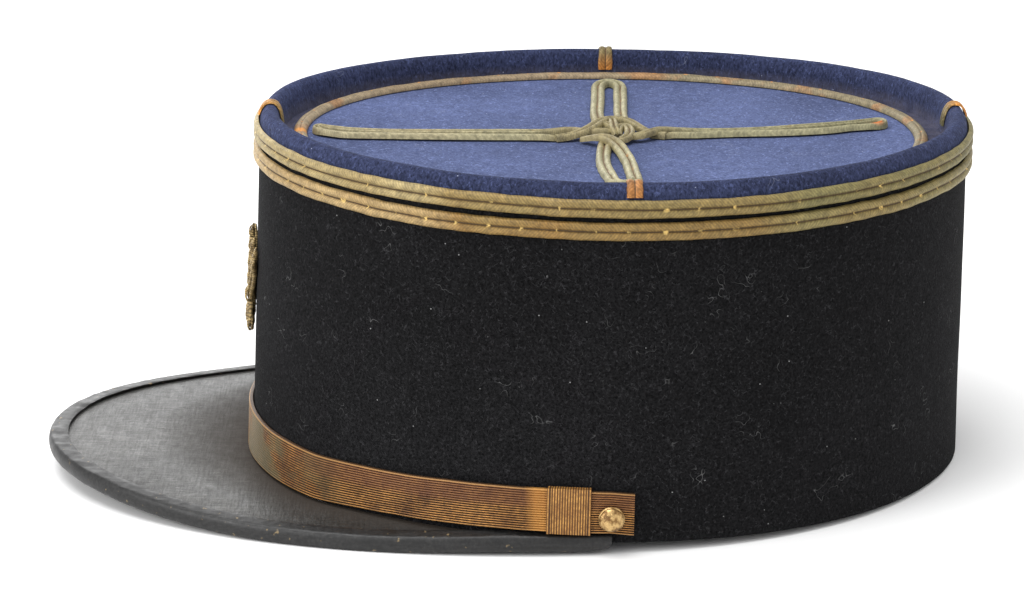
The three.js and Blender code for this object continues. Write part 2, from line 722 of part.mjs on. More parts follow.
add("band", makeBand(), navyCloth);
add("crown_rim", makeRim(), rimCloth);
add("crown_disc", makeDisc(), blueCloth);
add("braid_lower", makeWallBraid(BRAID_LOW_EDGE), goldBraid);
add("braid_upper", makeWallBraid(braidTop), goldBraid);
add("ring_braid", makeRingBraid(), goldBraid);
add("rim_braid_front", makeRimBraid(0), goldBraid);
add("rim_braid_back", makeRimBraid(Math.PI), goldBraid);
add("rim_braid_left", makeRimBraid(sideTurn(LEFT_BRAID_BACK)), goldBraid);
add("rim_braid_right", makeRimBraid(-sideTurn(RIGHT_BRAID_BACK)), goldBraid);
add("crown_knot", makeKnot(), goldBraid);
add("peak", makePeak(), blackLeather);
add("peak_binding", makeBinding(), boundLeather);
add("chin_strap", makeStrap(), strapLace);
add("strap_slide_left", makeSlide(1), strapLace);
add("strap_slide_right", makeSlide(-1), strapLace);
add("button_left", makeButton(1), brass);
add("button_right", makeButton(-1), brass);
add("badge", makeBadge(), bullion);

// The cap's rest: the lean that brings its lowest points in front of and behind the middle to the
// same level, found on the lower edge of its side view
function restLean() {
  const points = [];
  cap.traverse((piece) => {
    const corners = piece.geometry?.getAttribute("position");
    for (let i = 0; i < (corners?.count ?? 0); i += 1) {
      points.push(corner(corners.getY(i), corners.getZ(i)));
    }
  });
  const fronts = points.filter((at) => at.x < 0);
  const back = points.filter((at) => at.y < BAND_HEM / 2).reduce((a, b) => (b.x > a.x ? b : a));
  return Math.max(...fronts.map((at) => Math.atan2(back.y - at.y, back.x - at.x)));
}

cap.rotation.x = -restLean();
const kepi = new THREE.Group();
kepi.add(cap);
kepi.updateMatrixWorld(true);
const box = new THREE.Box3().setFromObject(kepi, true);
cap.position.set(-(box.min.x + box.max.x) / 2, -(box.min.y + box.max.y) / 2, -box.min.z);

export default kepi;
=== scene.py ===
# %% [markdown]
# # A kepi cap
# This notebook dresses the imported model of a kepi: a stiff oval band of dark cloth, a sunken crown,
# gold braid, a leather peak and a lace chin strap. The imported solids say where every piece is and
# how big it is. Each one is replaced here by a finer mesh of the same form with its own finish.

import json
import math

import bpy
from mathutils import Matrix, Vector, noise


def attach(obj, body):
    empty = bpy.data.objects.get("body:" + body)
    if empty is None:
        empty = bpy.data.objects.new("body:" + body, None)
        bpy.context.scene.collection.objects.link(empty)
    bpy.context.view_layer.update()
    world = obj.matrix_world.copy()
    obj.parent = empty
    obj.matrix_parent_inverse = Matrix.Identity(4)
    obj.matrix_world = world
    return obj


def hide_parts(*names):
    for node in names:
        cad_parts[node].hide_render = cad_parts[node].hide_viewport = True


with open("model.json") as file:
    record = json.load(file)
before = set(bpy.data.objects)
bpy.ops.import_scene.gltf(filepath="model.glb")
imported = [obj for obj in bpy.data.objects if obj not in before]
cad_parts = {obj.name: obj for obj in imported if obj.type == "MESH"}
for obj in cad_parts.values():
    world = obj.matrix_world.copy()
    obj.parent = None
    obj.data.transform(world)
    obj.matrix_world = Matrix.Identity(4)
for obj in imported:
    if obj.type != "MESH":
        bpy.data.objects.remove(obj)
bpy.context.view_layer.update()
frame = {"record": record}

# %% [markdown]
# ## The cap's own upright frame
# The cap is drawn upright, in millimetres, with the foot of its band on height 0. On a table it
# leans back a little, because it stands on the sagging sides of its peak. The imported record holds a
# mount on the foot of the band, and its place and its normal give that lean and the cap's place.

# %% From the upright cap to the leaning one
MM = 0.001
REST_POINT = Vector((3, 99.57, 0)) * MM  # the mount's place on the upright cap
rest = frame["record"]["mounts"][0]
lean = math.atan2(rest["axis"][1], -rest["axis"][2])
LEAN = Matrix.Rotation(lean, 3, "X")
STAND = Vector(rest["pos_m"]) - LEAN @ REST_POINT


def stand(point):
    """Puts a point of the upright cap, in millimetres, where the resting cap has it, in metres."""
    return LEAN @ (Vector(point) * MM) + STAND


print("lean, degrees:", round(math.degrees(lean), 2), "shift, m:", tuple(round(v, 4) for v in STAND))

# %% [markdown]
# ## The camera
# The picture looks at the wearer's left side from a little above. The camera is placed round the
# upright cap by its distance, its direction and its height, and then leans with the cap, so that the
# view of the cap is the photograph's. A long lens keeps the perspective as gentle as it is there.

# %% Camera
CAMERA_DISTANCE = 849
CAMERA_EAST = 1.525  # degrees in front of the wearer's left
CAMERA_HEIGHT = 17.207  # degrees above the band's foot
CAMERA_ROLL = 0.52
CAMERA_TARGET = Vector((0, -26.931, 40.041))
FOCAL_PIXELS = 2978.8
PICTURE_WIDE = 1024
SENSOR_WIDE = 36

east = math.radians(90 - CAMERA_EAST)
height = math.radians(CAMERA_HEIGHT)
toward = Vector((math.sin(east) * math.cos(height), -math.cos(east) * math.cos(height), math.sin(height)))
side = toward.cross(Vector((0, 0, -1))).normalized()
above = side.cross(-toward).normalized()
roll = math.radians(CAMERA_ROLL)
right = side * math.cos(roll) + above * math.sin(roll)
up = above * math.cos(roll) - side * math.sin(roll)
turned = LEAN @ Matrix((right, up, toward)).transposed()

bpy.ops.object.select_all(action="DESELECT")
bpy.ops.object.camera_add(location=stand(CAMERA_TARGET + toward * CAMERA_DISTANCE))
camera = bpy.context.object
camera.name = "photo_camera"
camera.rotation_euler = turned.to_euler()
camera.data.sensor_width = SENSOR_WIDE
camera.data.lens = FOCAL_PIXELS * SENSOR_WIDE / PICTURE_WIDE
bpy.context.scene.camera = camera
print("lens, mm:", round(camera.data.lens, 1))

# %% [markdown]
# ## The oval wall
# Nearly everything is wrapped round one wall: an oval that is a little smaller at the crown than at
# the foot. `wall` gives a point on it from a turn round the cap (0 at the front, a quarter circle at
# the wearer's left), a distance outwards and a height. At the crown the edge is a saddle, higher at
# front and back than at the sides.

# %% The wall
FOOT = (101, 85)  # outer half length and half width at the foot
CROWN = (98.6, 82.1)
CROWN_BACK = 1
CREST = 96
BAND_TOP = CREST - 6
DISC_TOP = CREST - 8
BRAID_LOW_EDGE = BAND_TOP - 8.35
SADDLE = 1.9
GAP = 0.3


def mix(a, b, share):
    return a + (b - a) * share


def ease(start, end, value):
    share = min(max((value - start) / (end - start), 0), 1)
    return share * share * (3 - 2 * share)


def saddle(y, z):
    return SADDLE * min(max(z / BRAID_LOW_EDGE, 0), 1) * (y / CROWN[0]) ** 2


def upright_wall(turn, out, z):
    share = z / CREST
    length = mix(FOOT[0], CROWN[0], share)
    width = mix(FOOT[1], CROWN[1], share)
    x = width * math.sin(turn)
    y = -length * math.cos(turn)
    nx = x / width**2
    ny = y / length**2
    size = math.hypot(nx, ny)
    x += nx / size * out
    y += ny / size * out + CROWN_BACK * share
    return Vector((x, y, z + saddle(y, z)))


def wall(turn, out, z):
    return stand(upright_wall(turn, out, z))


def curve_through(rows, share):
    """A smooth curve through rows of numbers, read at a share of the way along them."""
    last = len(rows) - 1
    spot = min(max(share, 0), 1) * last
    i = min(int(spot), last - 1)
    t = spot - i
    a, b, c, d = (rows[min(max(k, 0), last)] for k in (i - 1, i, i + 1, i + 2))
    return tuple(
        0.5 * (2 * q + (r - p) * t + (2 * p - 5 * q + 4 * r - s) * t**2 + (3 * q - p - 3 * r + s) * t**3)
        for p, q, r, s in zip(a, b, c, d)
    )


def waver(point, size, depth):
    """A slow in and out over about so many millimetres."""
    return depth * noise.noise(point / size)


# %% [markdown]
# ## A skin of quads
# Braid, lace, cloth and leather are all long skins. Each starts as Blender's grid primitive, whose
# points are then laid on the cap by a `place` function of two shares: `u` along the piece and `v`
# across it. Skins that close on themselves are merged at their seam, and open ends are filled. The
# grid's UV map is kept as "wrap", stretched to the size given, so a weave follows the piece.

# %% Lay a skin
def skin(name, along, across, size, place, closed_along=False, closed_across=True, smooth=40):
    bpy.ops.object.select_all(action="DESELECT")
    bpy.ops.mesh.primitive_grid_add(x_subdivisions=along, y_subdivisions=across, size=1, calc_uvs=True)
    piece = bpy.context.object
    piece.name = name
    piece.data.name = name
    for vertex in piece.data.vertices:
        u = round((vertex.co.x + 0.5) * along) / along
        v = round((vertex.co.y + 0.5) * across) / across
        vertex.co = place(u, v)
    wrap = piece.data.uv_layers.active
    wrap.name = "wrap"
    for loop in wrap.data:
        loop.uv = (loop.uv[0] * size[0], loop.uv[1] * size[1])
    if closed_along or closed_across:
        bpy.ops.object.mode_set(mode="EDIT")
        bpy.ops.mesh.select_all(action="SELECT")
        bpy.ops.mesh.remove_doubles(threshold=1e-6)
        if closed_across and not closed_along:
            bpy.ops.mesh.select_all(action="SELECT")
            bpy.ops.mesh.fill_holes(sides=0)
        bpy.ops.mesh.select_all(action="SELECT")
        bpy.ops.mesh.normals_make_consistent(inside=False)
        bpy.ops.object.mode_set(mode="OBJECT")
    bpy.ops.object.shade_smooth_by_angle(angle=math.radians(smooth))
    return piece


def join(name, pieces):
    """Joins finished pieces into one, and keeps their wrap."""
    bpy.ops.object.select_all(action="DESELECT")
    for piece in pieces:
        piece.select_set(True)
    bpy.context.view_layer.objects.active = pieces[0]
    bpy.ops.object.join()
    whole = bpy.context.object
    whole.name = name
    whole.data.name = name
    return whole


def finish(piece, material, slot, *nodes):
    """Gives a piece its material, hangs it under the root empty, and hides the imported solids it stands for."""
    piece.data.materials.clear()
    piece.data.materials.append(material)
    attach(piece, "root")
    if nodes:
        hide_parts(*nodes)
    print(piece.name, len(piece.data.polygons), "faces")


def around(points):
    """Reads a closed outline: share v of the way from its first point back to it."""
    count = len(points)

    def read(v):
        return points[round(v * count) % count]

    return read


# %% [markdown]
# ## Building a finish
# Every finish is a Principled shader with its plain numbers on the shader's own sockets. Colour and
# relief come from small patterns: noise on Object coordinates for felt and wear, and stripes on the
# wrap for ribs and threads. The helper below keeps each finish to a few readable lines. Its `hairs`
# are the thin lines where a noise passes through its middle value: they curl as loose fibres do.

# %% Helpers for finishes
class Finish:
    def __init__(self, name, roughness, metallic=0.0, sheen=0.0, specular=0.5):
        self.material = bpy.data.materials.new(name)
        self.material.use_nodes = True
        self.tree = self.material.node_tree
        self.shader = self.tree.nodes["Principled BSDF"]
        self.shader.inputs["Roughness"].default_value = roughness
        self.shader.inputs["Metallic"].default_value = metallic
        self.shader.inputs["Sheen Weight"].default_value = sheen
        self.shader.inputs["Specular IOR Level"].default_value = specular
        self.places = self.tree.nodes.new("ShaderNodeTexCoord").outputs["Object"]
        self.height = None

    def node(self, kind, settings=None, **inputs):
        made = self.tree.nodes.new("ShaderNode" + kind)
        for key, value in (settings or {}).items():
            setattr(made, key, value)
        for key, value in inputs.items():
            socket = made.inputs[int(key[1:])] if key[0] == "i" and key[1:].isdigit() else made.inputs[key]
            if isinstance(value, bpy.types.NodeSocket):
                self.tree.links.new(value, socket)
            else:
                socket.default_value = value
        return made

    def math(self, operation, first, second=0.0):
        return self.node("Math", {"operation": operation}, i0=first, i1=second).outputs[0]

    def wrap(self):
        """The piece's own measure along and across it."""
        parts = self.node("SeparateXYZ", Vector=self.node("UVMap", {"uv_map": "wrap"}).outputs["UV"])
        return parts.outputs["X"], parts.outputs["Y"]

    def spot(self, axis):
        """The Object coordinate along x, y or z, in metres."""
        return self.node("SeparateXYZ", Vector=self.places).outputs[axis.upper()]

    def noise(self, per_mm, detail=3.0, rough=0.5, stretch=(1, 1, 1)):
        """Noise with about so many features in a millimetre; a small stretch draws them out."""
        place = self.node("Mapping", Vector=self.places, Scale=[s * per_mm / MM for s in stretch])
        made = self.node("TexNoise", Vector=place.outputs["Vector"], Scale=1.0, Detail=detail, Roughness=rough)
        return made.outputs["Fac"]

    def hairs(self, per_mm, thin, detail=1.0, stretch=(1, 1, 1)):
        """Thin curling lines."""
        fog = self.noise(per_mm, detail=detail, stretch=stretch)
        off = self.math("ABSOLUTE", self.math("SUBTRACT", fog, 0.5))
        return self.ramp(off, (0.0, 1.0), (thin, 0.0))

    def dots(self, per_mm, share):
        """Sparse round dots."""
        place = self.node("Mapping", Vector=self.places, Scale=[per_mm / MM] * 3)
        cells = self.node("TexVoronoi", Vector=place.outputs["Vector"], Scale=1.0)
        return self.ramp(cells.outputs["Distance"], (share * 0.5, 1.0), (share, 0.0))

    def patch(self, place, reach_mm):
        """1 at a place on the cap, given in metres, falling to 0 at a distance from it."""
        off = self.node("VectorMath", {"operation": "DISTANCE"}, i0=self.places, i1=tuple(place)).outputs["Value"]
        far = self.math("DIVIDE", off, reach_mm * MM)
        return self.ramp(far, (0.5, 1.0), (1.0, 0.0))

    def stripes(self, value, per_unit=1.0):
        """0 on a stripe's crest and 1 in the groove half a stripe away."""
        share = self.math("FRACT", self.math("MULTIPLY", value, per_unit))
        return self.math("MULTIPLY", self.math("ABSOLUTE", self.math("SUBTRACT", share, 0.5)), 2.0)

    def ramp(self, value, *stops):
        """Turns a value into a colour or a grey; each stop is (position, colour)."""
        made = self.node("ValToRGB", Fac=value)
        ramp = made.color_ramp
        while len(ramp.elements) < len(stops):
            ramp.elements.new(0.5)
        for element, (position, colour) in zip(ramp.elements, stops):
            element.position = position
            element.color = (*colour, 1) if isinstance(colour, tuple) else (colour, colour, colour, 1)
        return made.outputs["Color"]

    def blend(self, amount, first, second, how="MIX"):
        settings = {"data_type": "RGBA", "blend_type": how}
        return self.node("Mix", settings, i0=amount, i6=first, i7=second).outputs[2]

    def shade(self, colour, value, *stops):
        """Multiplies a colour by a ramp."""
        return self.blend(1.0, colour, self.ramp(value, *stops), "MULTIPLY")

    def relief(self, value, depth_mm, strength=1.0):
        """Adds a bump of a real depth on top of those before it."""
        made = self.node("Bump", Height=value, Distance=depth_mm * MM, Strength=strength)
        if self.height is not None:
            self.tree.links.new(self.height, made.inputs["Normal"])
        self.height = made.outputs["Normal"]

    def done(self, colour, roughness=None):
        if isinstance(colour, tuple):
            self.shader.inputs["Base Color"].default_value = (*colour, 1)
        else:
            self.tree.links.new(colour, self.shader.inputs["Base Color"])
        if roughness is not None:
            self.tree.links.new(roughness, self.shader.inputs["Roughness"])
        if self.height is not None:
            self.tree.links.new(self.height, self.shader.inputs["Normal"])
        return self.material


# %% [markdown]
# ## Milled wool cloth
# The band, rim and crown are milled wool: short fibres felted over a weave that hardly shows. Fine
# noise and fine hairs make the nap, a middle noise mats it in clumps, and the widest shifts the
# colour slowly, as dust and wear do. Single curls of lint and a few dots of dust lie on top. Sheen
# gives the pale edge that wool has where it is seen along its face.

# %% Cloth finishes
def wool(name, dark, light, pale, sheen, nap, hair, lie=(1, 1, 1)):
    """Returns the finish and its colour, so that a piece can add its own dirt before it is done."""
    cloth = Finish(name, roughness=0.95, sheen=sheen, specular=0.1)
    cloth.shader.inputs["Sheen Roughness"].default_value = 0.5
    cloth.shader.inputs["Sheen Tint"].default_value = (*[min(1, c * 2 + 0.1) for c in light], 1)
    fibres = cloth.noise(1.5, detail=4, rough=0.72, stretch=lie)
    clumps = cloth.noise(0.3, detail=4, rough=0.6)
    colour = cloth.ramp(fibres, (0.34, dark), (0.68, light))
    colour = cloth.shade(colour, clumps, (0.32, 0.84), (0.7, 1.16))
    colour = cloth.shade(colour, cloth.noise(0.02, detail=3), (0.35, 0.82), (0.68, 1.25))
    broken = cloth.ramp(cloth.noise(0.9, detail=2), (0.45, 0.0), (0.62, hair))
    strays = cloth.math("MULTIPLY", cloth.hairs(0.55, 0.03, detail=2, stretch=lie), broken)
    colour = cloth.blend(strays, colour, (*[min(1, c * 2.2) for c in light], 1))
    sparse = cloth.ramp(cloth.noise(0.12, detail=1), (0.63, 0.0), (0.72, 0.4))
    colour = cloth.blend(cloth.math("MULTIPLY", cloth.hairs(0.3, 0.012), sparse), colour, (*pale, 1))
    colour = cloth.blend(cloth.dots(0.2, 0.045), colour, (*pale, 1))
    cloth.relief(clumps, 0.15)
    cloth.relief(fibres, nap)
    return cloth, colour


cloth, colour = wool("band_cloth", (0.0004, 0.0004, 0.0006), (0.013, 0.0128, 0.0138), (0.24, 0.24, 0.24), 0.035, 0.3, 1.0)
band_cloth = cloth.done(colour)
cloth, colour = wool("crown_cloth", (0.042, 0.056, 0.13), (0.105, 0.13, 0.245), (0.36, 0.39, 0.52), 0.03, 0.18, 0.7)
disc_cloth = cloth.done(colour)

# %% [markdown]
# ## Band
# On the real cap the band is cloth glued round a stiff former, with a turned hem at the foot. Its
# section is one closed outline: up the outside, across the top and down the inside. It is laid round
# the wall from the back, where the seam is, and the outside gets the slow waver of hand work.

# %% Band
BAND_WALL = 2.5
BAND_HEM = 0.7
FRONT_DIP = 1
DIP_FROM = 20
DIP_TO = 62


def foot_dip(y):
    return FRONT_DIP * ease(DIP_FROM, DIP_TO, -y)


def band_outline():
    outside = [(0, mix(BAND_HEM, BAND_TOP, i / 44)) for i in range(45)]
    inside = [(-BAND_WALL, mix(BAND_TOP, BAND_HEM, i / 22)) for i in range(23)]
    corner = [math.pi / 2 * i / 4 for i in range(1, 5)]
    inner = [(-BAND_WALL + BAND_HEM * (1 - math.cos(a)), BAND_HEM * (1 - math.sin(a))) for a in corner]
    outer = [(-BAND_HEM * (1 - math.sin(a)), BAND_HEM * (1 - math.cos(a))) for a in corner[:-1]]
    return outside + inside + inner + outer


def place_band(outline):
    read = around(outline)

    def place(u, v):
        out, z = read(v)
        turn = math.pi + u * math.tau
        flat = upright_wall(turn, 0, z)
        seam = 0.35 * math.exp(-((abs(abs(u - 0.5) - 0.5) * 570 / 0.8) ** 2))
        if out > -BAND_WALL / 2:
            out += waver(flat, 26, 0.25) - seam
        if z < BAND_TOP / 2:
            z -= foot_dip(flat.y) * (1 - z / (BAND_TOP / 2))
        return wall(turn, out, z)

    return place


outline = band_outline()
band = skin("band_wall", 480, len(outline), (570, 190), place_band(outline), closed_along=True)
finish(band, band_cloth, "band_cloth", "band")

# %% [markdown]
# ## Rolled rim
# The crown cloth is drawn up over a padded cord, so the rim is a soft roll: steep outside, round on
# top and falling in to a flat strip that ends at the seam under the ring of braid. A few chosen
# heights give its section, a smooth curve is drawn through them, and the roll wavers a little.

# %% Rim
RIM_WIDTH = 6
RIM_SPREAD = 0.37
RIM_SEAM = BAND_TOP + GAP
DISC_THICK = 2
RING_INSET = 8
RING_DRAWN_FRONT = 3.3
RING_DRAWN_BACK = 4.9
RIM_ROLL = ((0, 0), (0.02, 0.3), (0.06, 0.5), (0.15, 0.74), (0.31, 0.94), (0.5, 1), (0.69, 0.94), (0.84, 0.72),
            (0.93, 0.4), (0.97, 0.1), (1, -0.2))  # (inset, rise) as shares of the rim's width and height


def drawn_in(turn):
    """How much further in than at the sides the ring of braid and its seam lie."""
    front = math.cos(turn)
    return front**2 * (RING_DRAWN_FRONT if front > 0 else RING_DRAWN_BACK)


def rim_at(share, lift=0.0):
    """A point (out, height) on the roll's skin, lifted off it along its normal."""
    def read(where):
        inset, rise = curve_through(RIM_ROLL, where)
        return -inset * RIM_WIDTH, RIM_SEAM + rise * (CREST - RIM_SEAM)

    out, z = read(share)
    ahead = read(min(share + 0.01, 1))
    behind = read(max(share - 0.01, 0))
    along = (ahead[0] - behind[0], ahead[1] - behind[1])
    size = math.hypot(*along)
    return out + along[1] / size * lift, z - along[0] / size * lift


ROLL_POINTS = 30
FLAT_POINTS = 6


def place_rim():
    roll = [(*rim_at(i / (ROLL_POINTS - 1)), 0) for i in range(ROLL_POINTS)]
    foot = -RIM_WIDTH - RIM_SPREAD
    flat = [(mix(foot, -RING_INSET, i / (FLAT_POINTS - 1)), DISC_TOP, i / (FLAT_POINTS - 1)) for i in range(FLAT_POINTS)]
    under = DISC_TOP - DISC_THICK
    tail = [(-RING_INSET, under, 1), (-BAND_WALL - GAP, under, 0), (-BAND_WALL - GAP, RIM_SEAM, 0)]
    outline = roll + flat + tail
    read = around(outline)

    def place(u, v):
        out, z, drawn = read(v)
        turn = math.pi + u * math.tau
        here = upright_wall(turn, out, z)
        if z > RIM_SEAM + 1:
            z += waver(here, 17, 0.22) + waver(here, 5, 0.07)
        return wall(turn, out - drawn * drawn_in(turn), z)

    return place, len(outline)


cloth, colour = wool("rim_cloth", (0.01, 0.0125, 0.029), (0.044, 0.055, 0.12), (0.3, 0.33, 0.45), 0.16, 0.3, 0.55,
                     lie=(1, 1, 0.5))
_, section = cloth.wrap()
flat_strip = cloth.ramp(cloth.math("DIVIDE", section, 39.0), (0.62, 0.0), (0.78, 0.5))
dusty = cloth.ramp(cloth.noise(0.25, detail=4), (0.3, (0.05, 0.045, 0.06)), (0.7, (0.13, 0.115, 0.13)))
rim_cloth = cloth.done(cloth.blend(flat_strip, colour, dusty))
place, across = place_rim()
rim = skin("rim_roll", 480, across, (570, across), place, closed_along=True, smooth=50)
finish(rim, rim_cloth, "rim_cloth", "crown_rim")

# %% [markdown]
# ## Crown disc
# The disc is a stiff card covered in the lighter cloth, so it is nearly flat but follows the saddle
# of the rim. It is a skin whose `v` runs from the middle out to the edge, over it and back below.

# %% Disc
def place_disc(u, v):
    turn = math.pi + u * math.tau
    edge = upright_wall(turn, -RING_INSET - drawn_in(turn) - GAP, DISC_TOP)
    back = CROWN_BACK * DISC_TOP / CREST
    top = v <= 0.8
    share = v / 0.8 if top else (1 - v) / 0.2
    flat = Vector((edge.x * share, mix(back, edge.y, share), DISC_TOP if top else DISC_TOP - DISC_THICK))
    if top and share < 0.97:
        flat.z += waver(Vector((flat.x, flat.y, 0)), 22, 0.12)
    flat.z += saddle(flat.y, DISC_TOP)
    return stand(flat)


disc = skin("crown_top", 240, 50, (500, 100), place_disc, closed_along=True)
finish(disc, disc_cloth, "crown_cloth", "crown_disc")

# %% [markdown]
# ## Soutache
# The braid is soutache: two cords side by side in one gold casing, with a groove between. Its
# section is two round arches with a flat back. The threads slant one way on one cord and the other
# way on its neighbour, like a plait, so the finish adds to the distance along the braid the distance
# from its groove. A stitch shows in the groove here and there. The gold has tarnished unevenly: tan
# at the front, brown in the middle, green at the back.

# %% Braid section and finish
def soutache(wide, thick, rows=9):
    """The section's outline as (across, up), with its middle on 0 and its back on 0."""
    points = []
    for cord in (-1, 1):
        for i in range(rows):
            share = -1 + 2 * (i + 0.5) / rows
            least = 0.4 if share * cord < 0 else 0.1
            points.append((wide / 4 * (cord + share), thick * max(math.sqrt(1 - share * share), least)))
    return points + [(wide * 0.49, 0), (0, 0), (-wide * 0.49, 0)]


def braid_wrap(wide, rows=9):
    """The wrap's size across, for which the groove lies at half the braid's width."""
    return wide * (2 * rows + 3) / (2 * rows - 1)


def plaited(braid, wide, per_mm=1.15):
    """Relief and shade of slanting threads; returns the thread shade, the groove's painted shade and the stitches."""
    along, across = braid.wrap()
    beside = braid.math("ABSOLUTE", braid.math("SUBTRACT", across, wide / 2))
    wander = braid.math("MULTIPLY", braid.noise(0.5, detail=2), 1.3)
    slanted = braid.math("ADD", braid.math("ADD", along, braid.math("MULTIPLY", beside, 0.8)), wander)
    hatch = braid.stripes(slanted, per_mm)
    threads = braid.stripes(slanted, per_mm * 3.3)
    shade = braid.math("ADD", braid.math("MULTIPLY", hatch, 0.7), braid.math("MULTIPLY", threads, 0.3))
    # groove: mask of the painted shade in the groove between the two cords
    groove = braid.ramp(braid.math("DIVIDE", beside, wide), (0.02, 1.0), (0.06, 0.0))
    beat = braid.stripes(braid.math("ADD", along, braid.math("MULTIPLY", wander, 3.0)), 0.12)
    near_groove = braid.ramp(braid.math("DIVIDE", beside, wide), (0.06, 1.0), (0.15, 0.0))
    stitch = braid.math("MULTIPLY", braid.ramp(beat, (0.04, 1.0), (0.1, 0.0)), near_groove)
    stitch = braid.math("MULTIPLY", stitch, braid.ramp(braid.noise(0.2), (0.42, 0.0), (0.55, 1.0)))
    braid.relief(shade, -0.06)
    braid.relief(braid.noise(1.6, detail=3), 0.07)
    return shade, groove, stitch


def tarnished(braid, front, middle, back):
    """A colour that drifts from the front of the cap to its back."""
    along_cap = braid.math("MULTIPLY", braid.spot("y"), 1 / 0.22)
    drift = braid.math("ADD", along_cap, braid.math("MULTIPLY", braid.noise(0.03, detail=4), 1.1))
    return braid.ramp(braid.math("SUBTRACT", drift, 0.25), (0.05, front), (0.35, middle), (0.75, back))


def gold_braid(name, wide, front, middle, back, groove_shade_colour=(0.07, 0.04, 0.018), glint=(0.75, 0.55, 0.2),
               contrast=0.72, metal=0.25, rust=None):
    braid = Finish(name, roughness=0.5, metallic=metal, specular=0.4)
    shade, groove, stitch = plaited(braid, wide)
    colour = tarnished(braid, front, middle, back)
    colour = braid.shade(colour, braid.noise(0.6, detail=4, rough=0.7), (0.33, 0.62), (0.68, 1.3))
    colour = braid.shade(colour, shade, (0.15, 1.12), (0.85, contrast))
    # painted shade: the groove between the two cords is darkened
    colour = braid.blend(groove, colour, (*groove_shade_colour, 1))
    colour = braid.blend(stitch, colour, (*glint, 1))
    if rust:
        colour = braid.blend(braid.patch(rust, 2.4), colour, (0.6, 0.16, 0.03, 1))
        worn = braid.math("MULTIPLY", braid.patch(stand((0, 0, 90)), 26), 0.6)
        colour = braid.blend(worn, colour, braid.shade(colour, braid.noise(0.4), (0.3, (0.45, 0.33, 0.2)), (0.7, (0.9, 0.78, 0.58))))
    return braid.done(colour)


TAN = (0.4, 0.28, 0.125)
BROWN = (0.29, 0.18, 0.065)
GREEN = (0.235, 0.19, 0.072)
OLIVE = (0.2, 0.17, 0.065)
BRAID_HIGH = 4.8
BRAID_PROUD = 1.3
BRAID_SPACE = 1.15
lower_gold = gold_braid("lower_braid_gold", BRAID_HIGH, TAN, (0.245, 0.14, 0.038), GREEN)
upper_gold = gold_braid("upper_braid_gold", BRAID_HIGH, (0.36, 0.28, 0.13), (0.25, 0.17, 0.058), OLIVE)

# %% [markdown]
# ## The two braids round the band
# Each is one strip sewn round the wall, with a short space of band between them. They are laid from
# the back and waver a little in height, because they were sewn by hand.

# %% Wall braids
def wall_braid(name, low_edge, seed):
    outline = soutache(BRAID_HIGH, BRAID_PROUD)
    read = around(outline)
    middle = low_edge + BRAID_HIGH / 2

    def place(u, v):
        up_wall, proud = read(v)
        turn = math.pi + u * math.tau
        flat = upright_wall(turn, 0, middle) + Vector((0, 0, seed))
        sway = waver(flat, 31, 0.3) + waver(flat, 9, 0.12)
        return wall(turn, GAP + proud, middle + up_wall * (1 + waver(flat, 4, 0.08)) + sway)

    return skin(name, 900, len(outline), (570, braid_wrap(BRAID_HIGH)), place, closed_along=True)


finish(wall_braid("lower_braid", BRAID_LOW_EDGE, 0), lower_gold, "gold_braid", "braid_lower")
upper_low_edge = BRAID_LOW_EDGE + BRAID_HIGH + BRAID_SPACE
finish(wall_braid("upper_braid", upper_low_edge, 400), upper_gold, "gold_braid", "braid_upper")

# %% [markdown]
# ## Ring of braid on the disc
# A narrower braid lies flat over the seam between rim and disc. Its two cords have merged into one
# worn, rounded cord with only a faint groove.

# %% Ring braid
RING_WIDE = 3.8
RING_THICK = 1.6


def ring_section(rows=9):
    points = []
    for i in range(2 * rows):
        share = -1 + 2 * (i + 0.5) / (2 * rows)
        dent = 0.18 * math.exp(-((share / 0.12) ** 2))
        points.append((RING_WIDE / 2 * share, RING_THICK * (max(math.sqrt(1 - share * share), 0.15) - dent)))
    return points + [(RING_WIDE * 0.49, 0), (0, 0), (-RING_WIDE * 0.49, 0)]


def place_ring():
    read = around(ring_section())

    def place(u, v):
        across_ring, up_ring = read(v)
        turn = math.pi + u * math.tau
        flat = upright_wall(turn, -RING_INSET, DISC_TOP)
        middle = -RING_INSET - drawn_in(turn) + waver(flat, 24, 0.3)
        return wall(turn, across_ring + middle, DISC_TOP + GAP + up_ring * (1 + waver(flat, 6, 0.12)))

    return place


ring_gold = Finish("ring_braid_gold", roughness=0.55, metallic=0.2, specular=0.4)
shade, groove, stitch = plaited(ring_gold, RING_WIDE)
colour = tarnished(ring_gold, (0.34, 0.265, 0.165), (0.27, 0.2, 0.12), (0.23, 0.19, 0.11))
colour = ring_gold.blend(ring_gold.ramp(ring_gold.noise(0.09, detail=3), (0.54, 0.0), (0.64, 0.65)), colour,
                         (0.36, 0.17, 0.06, 1))
colour = ring_gold.shade(colour, ring_gold.noise(0.7, detail=4, rough=0.7), (0.33, 0.6), (0.68, 1.3))
colour = ring_gold.shade(colour, shade, (0.15, 1.1), (0.85, 0.78))
# painted shade: the faint groove is darkened at half strength
colour = ring_gold.blend(ring_gold.math("MULTIPLY", groove, 0.5), colour, (0.1, 0.06, 0.03, 1))
colour = ring_gold.blend(stitch, colour, (0.62, 0.25, 0.05, 1))
front_stitch = ring_gold.patch(wall(0.06, -RING_INSET - RING_DRAWN_FRONT, DISC_TOP + 1.5), 2.6)
colour = ring_gold.blend(front_stitch, colour, (0.62, 0.26, 0.04, 1))
ring = skin("ring_of_braid", 760, len(ring_section()), (500, braid_wrap(RING_WIDE)), place_ring(), closed_along=True)
finish(ring, ring_gold.done(colour), "gold_braid", "ring_braid")

# %% [markdown]
# ## Short braids over the rim
# Four short lengths climb from the upper braid over the roll and down to the disc. They are pulled
# tight over the crest. Each has worn in its own way, so each has its own colours along its length,
# from its outer foot to its inner one.

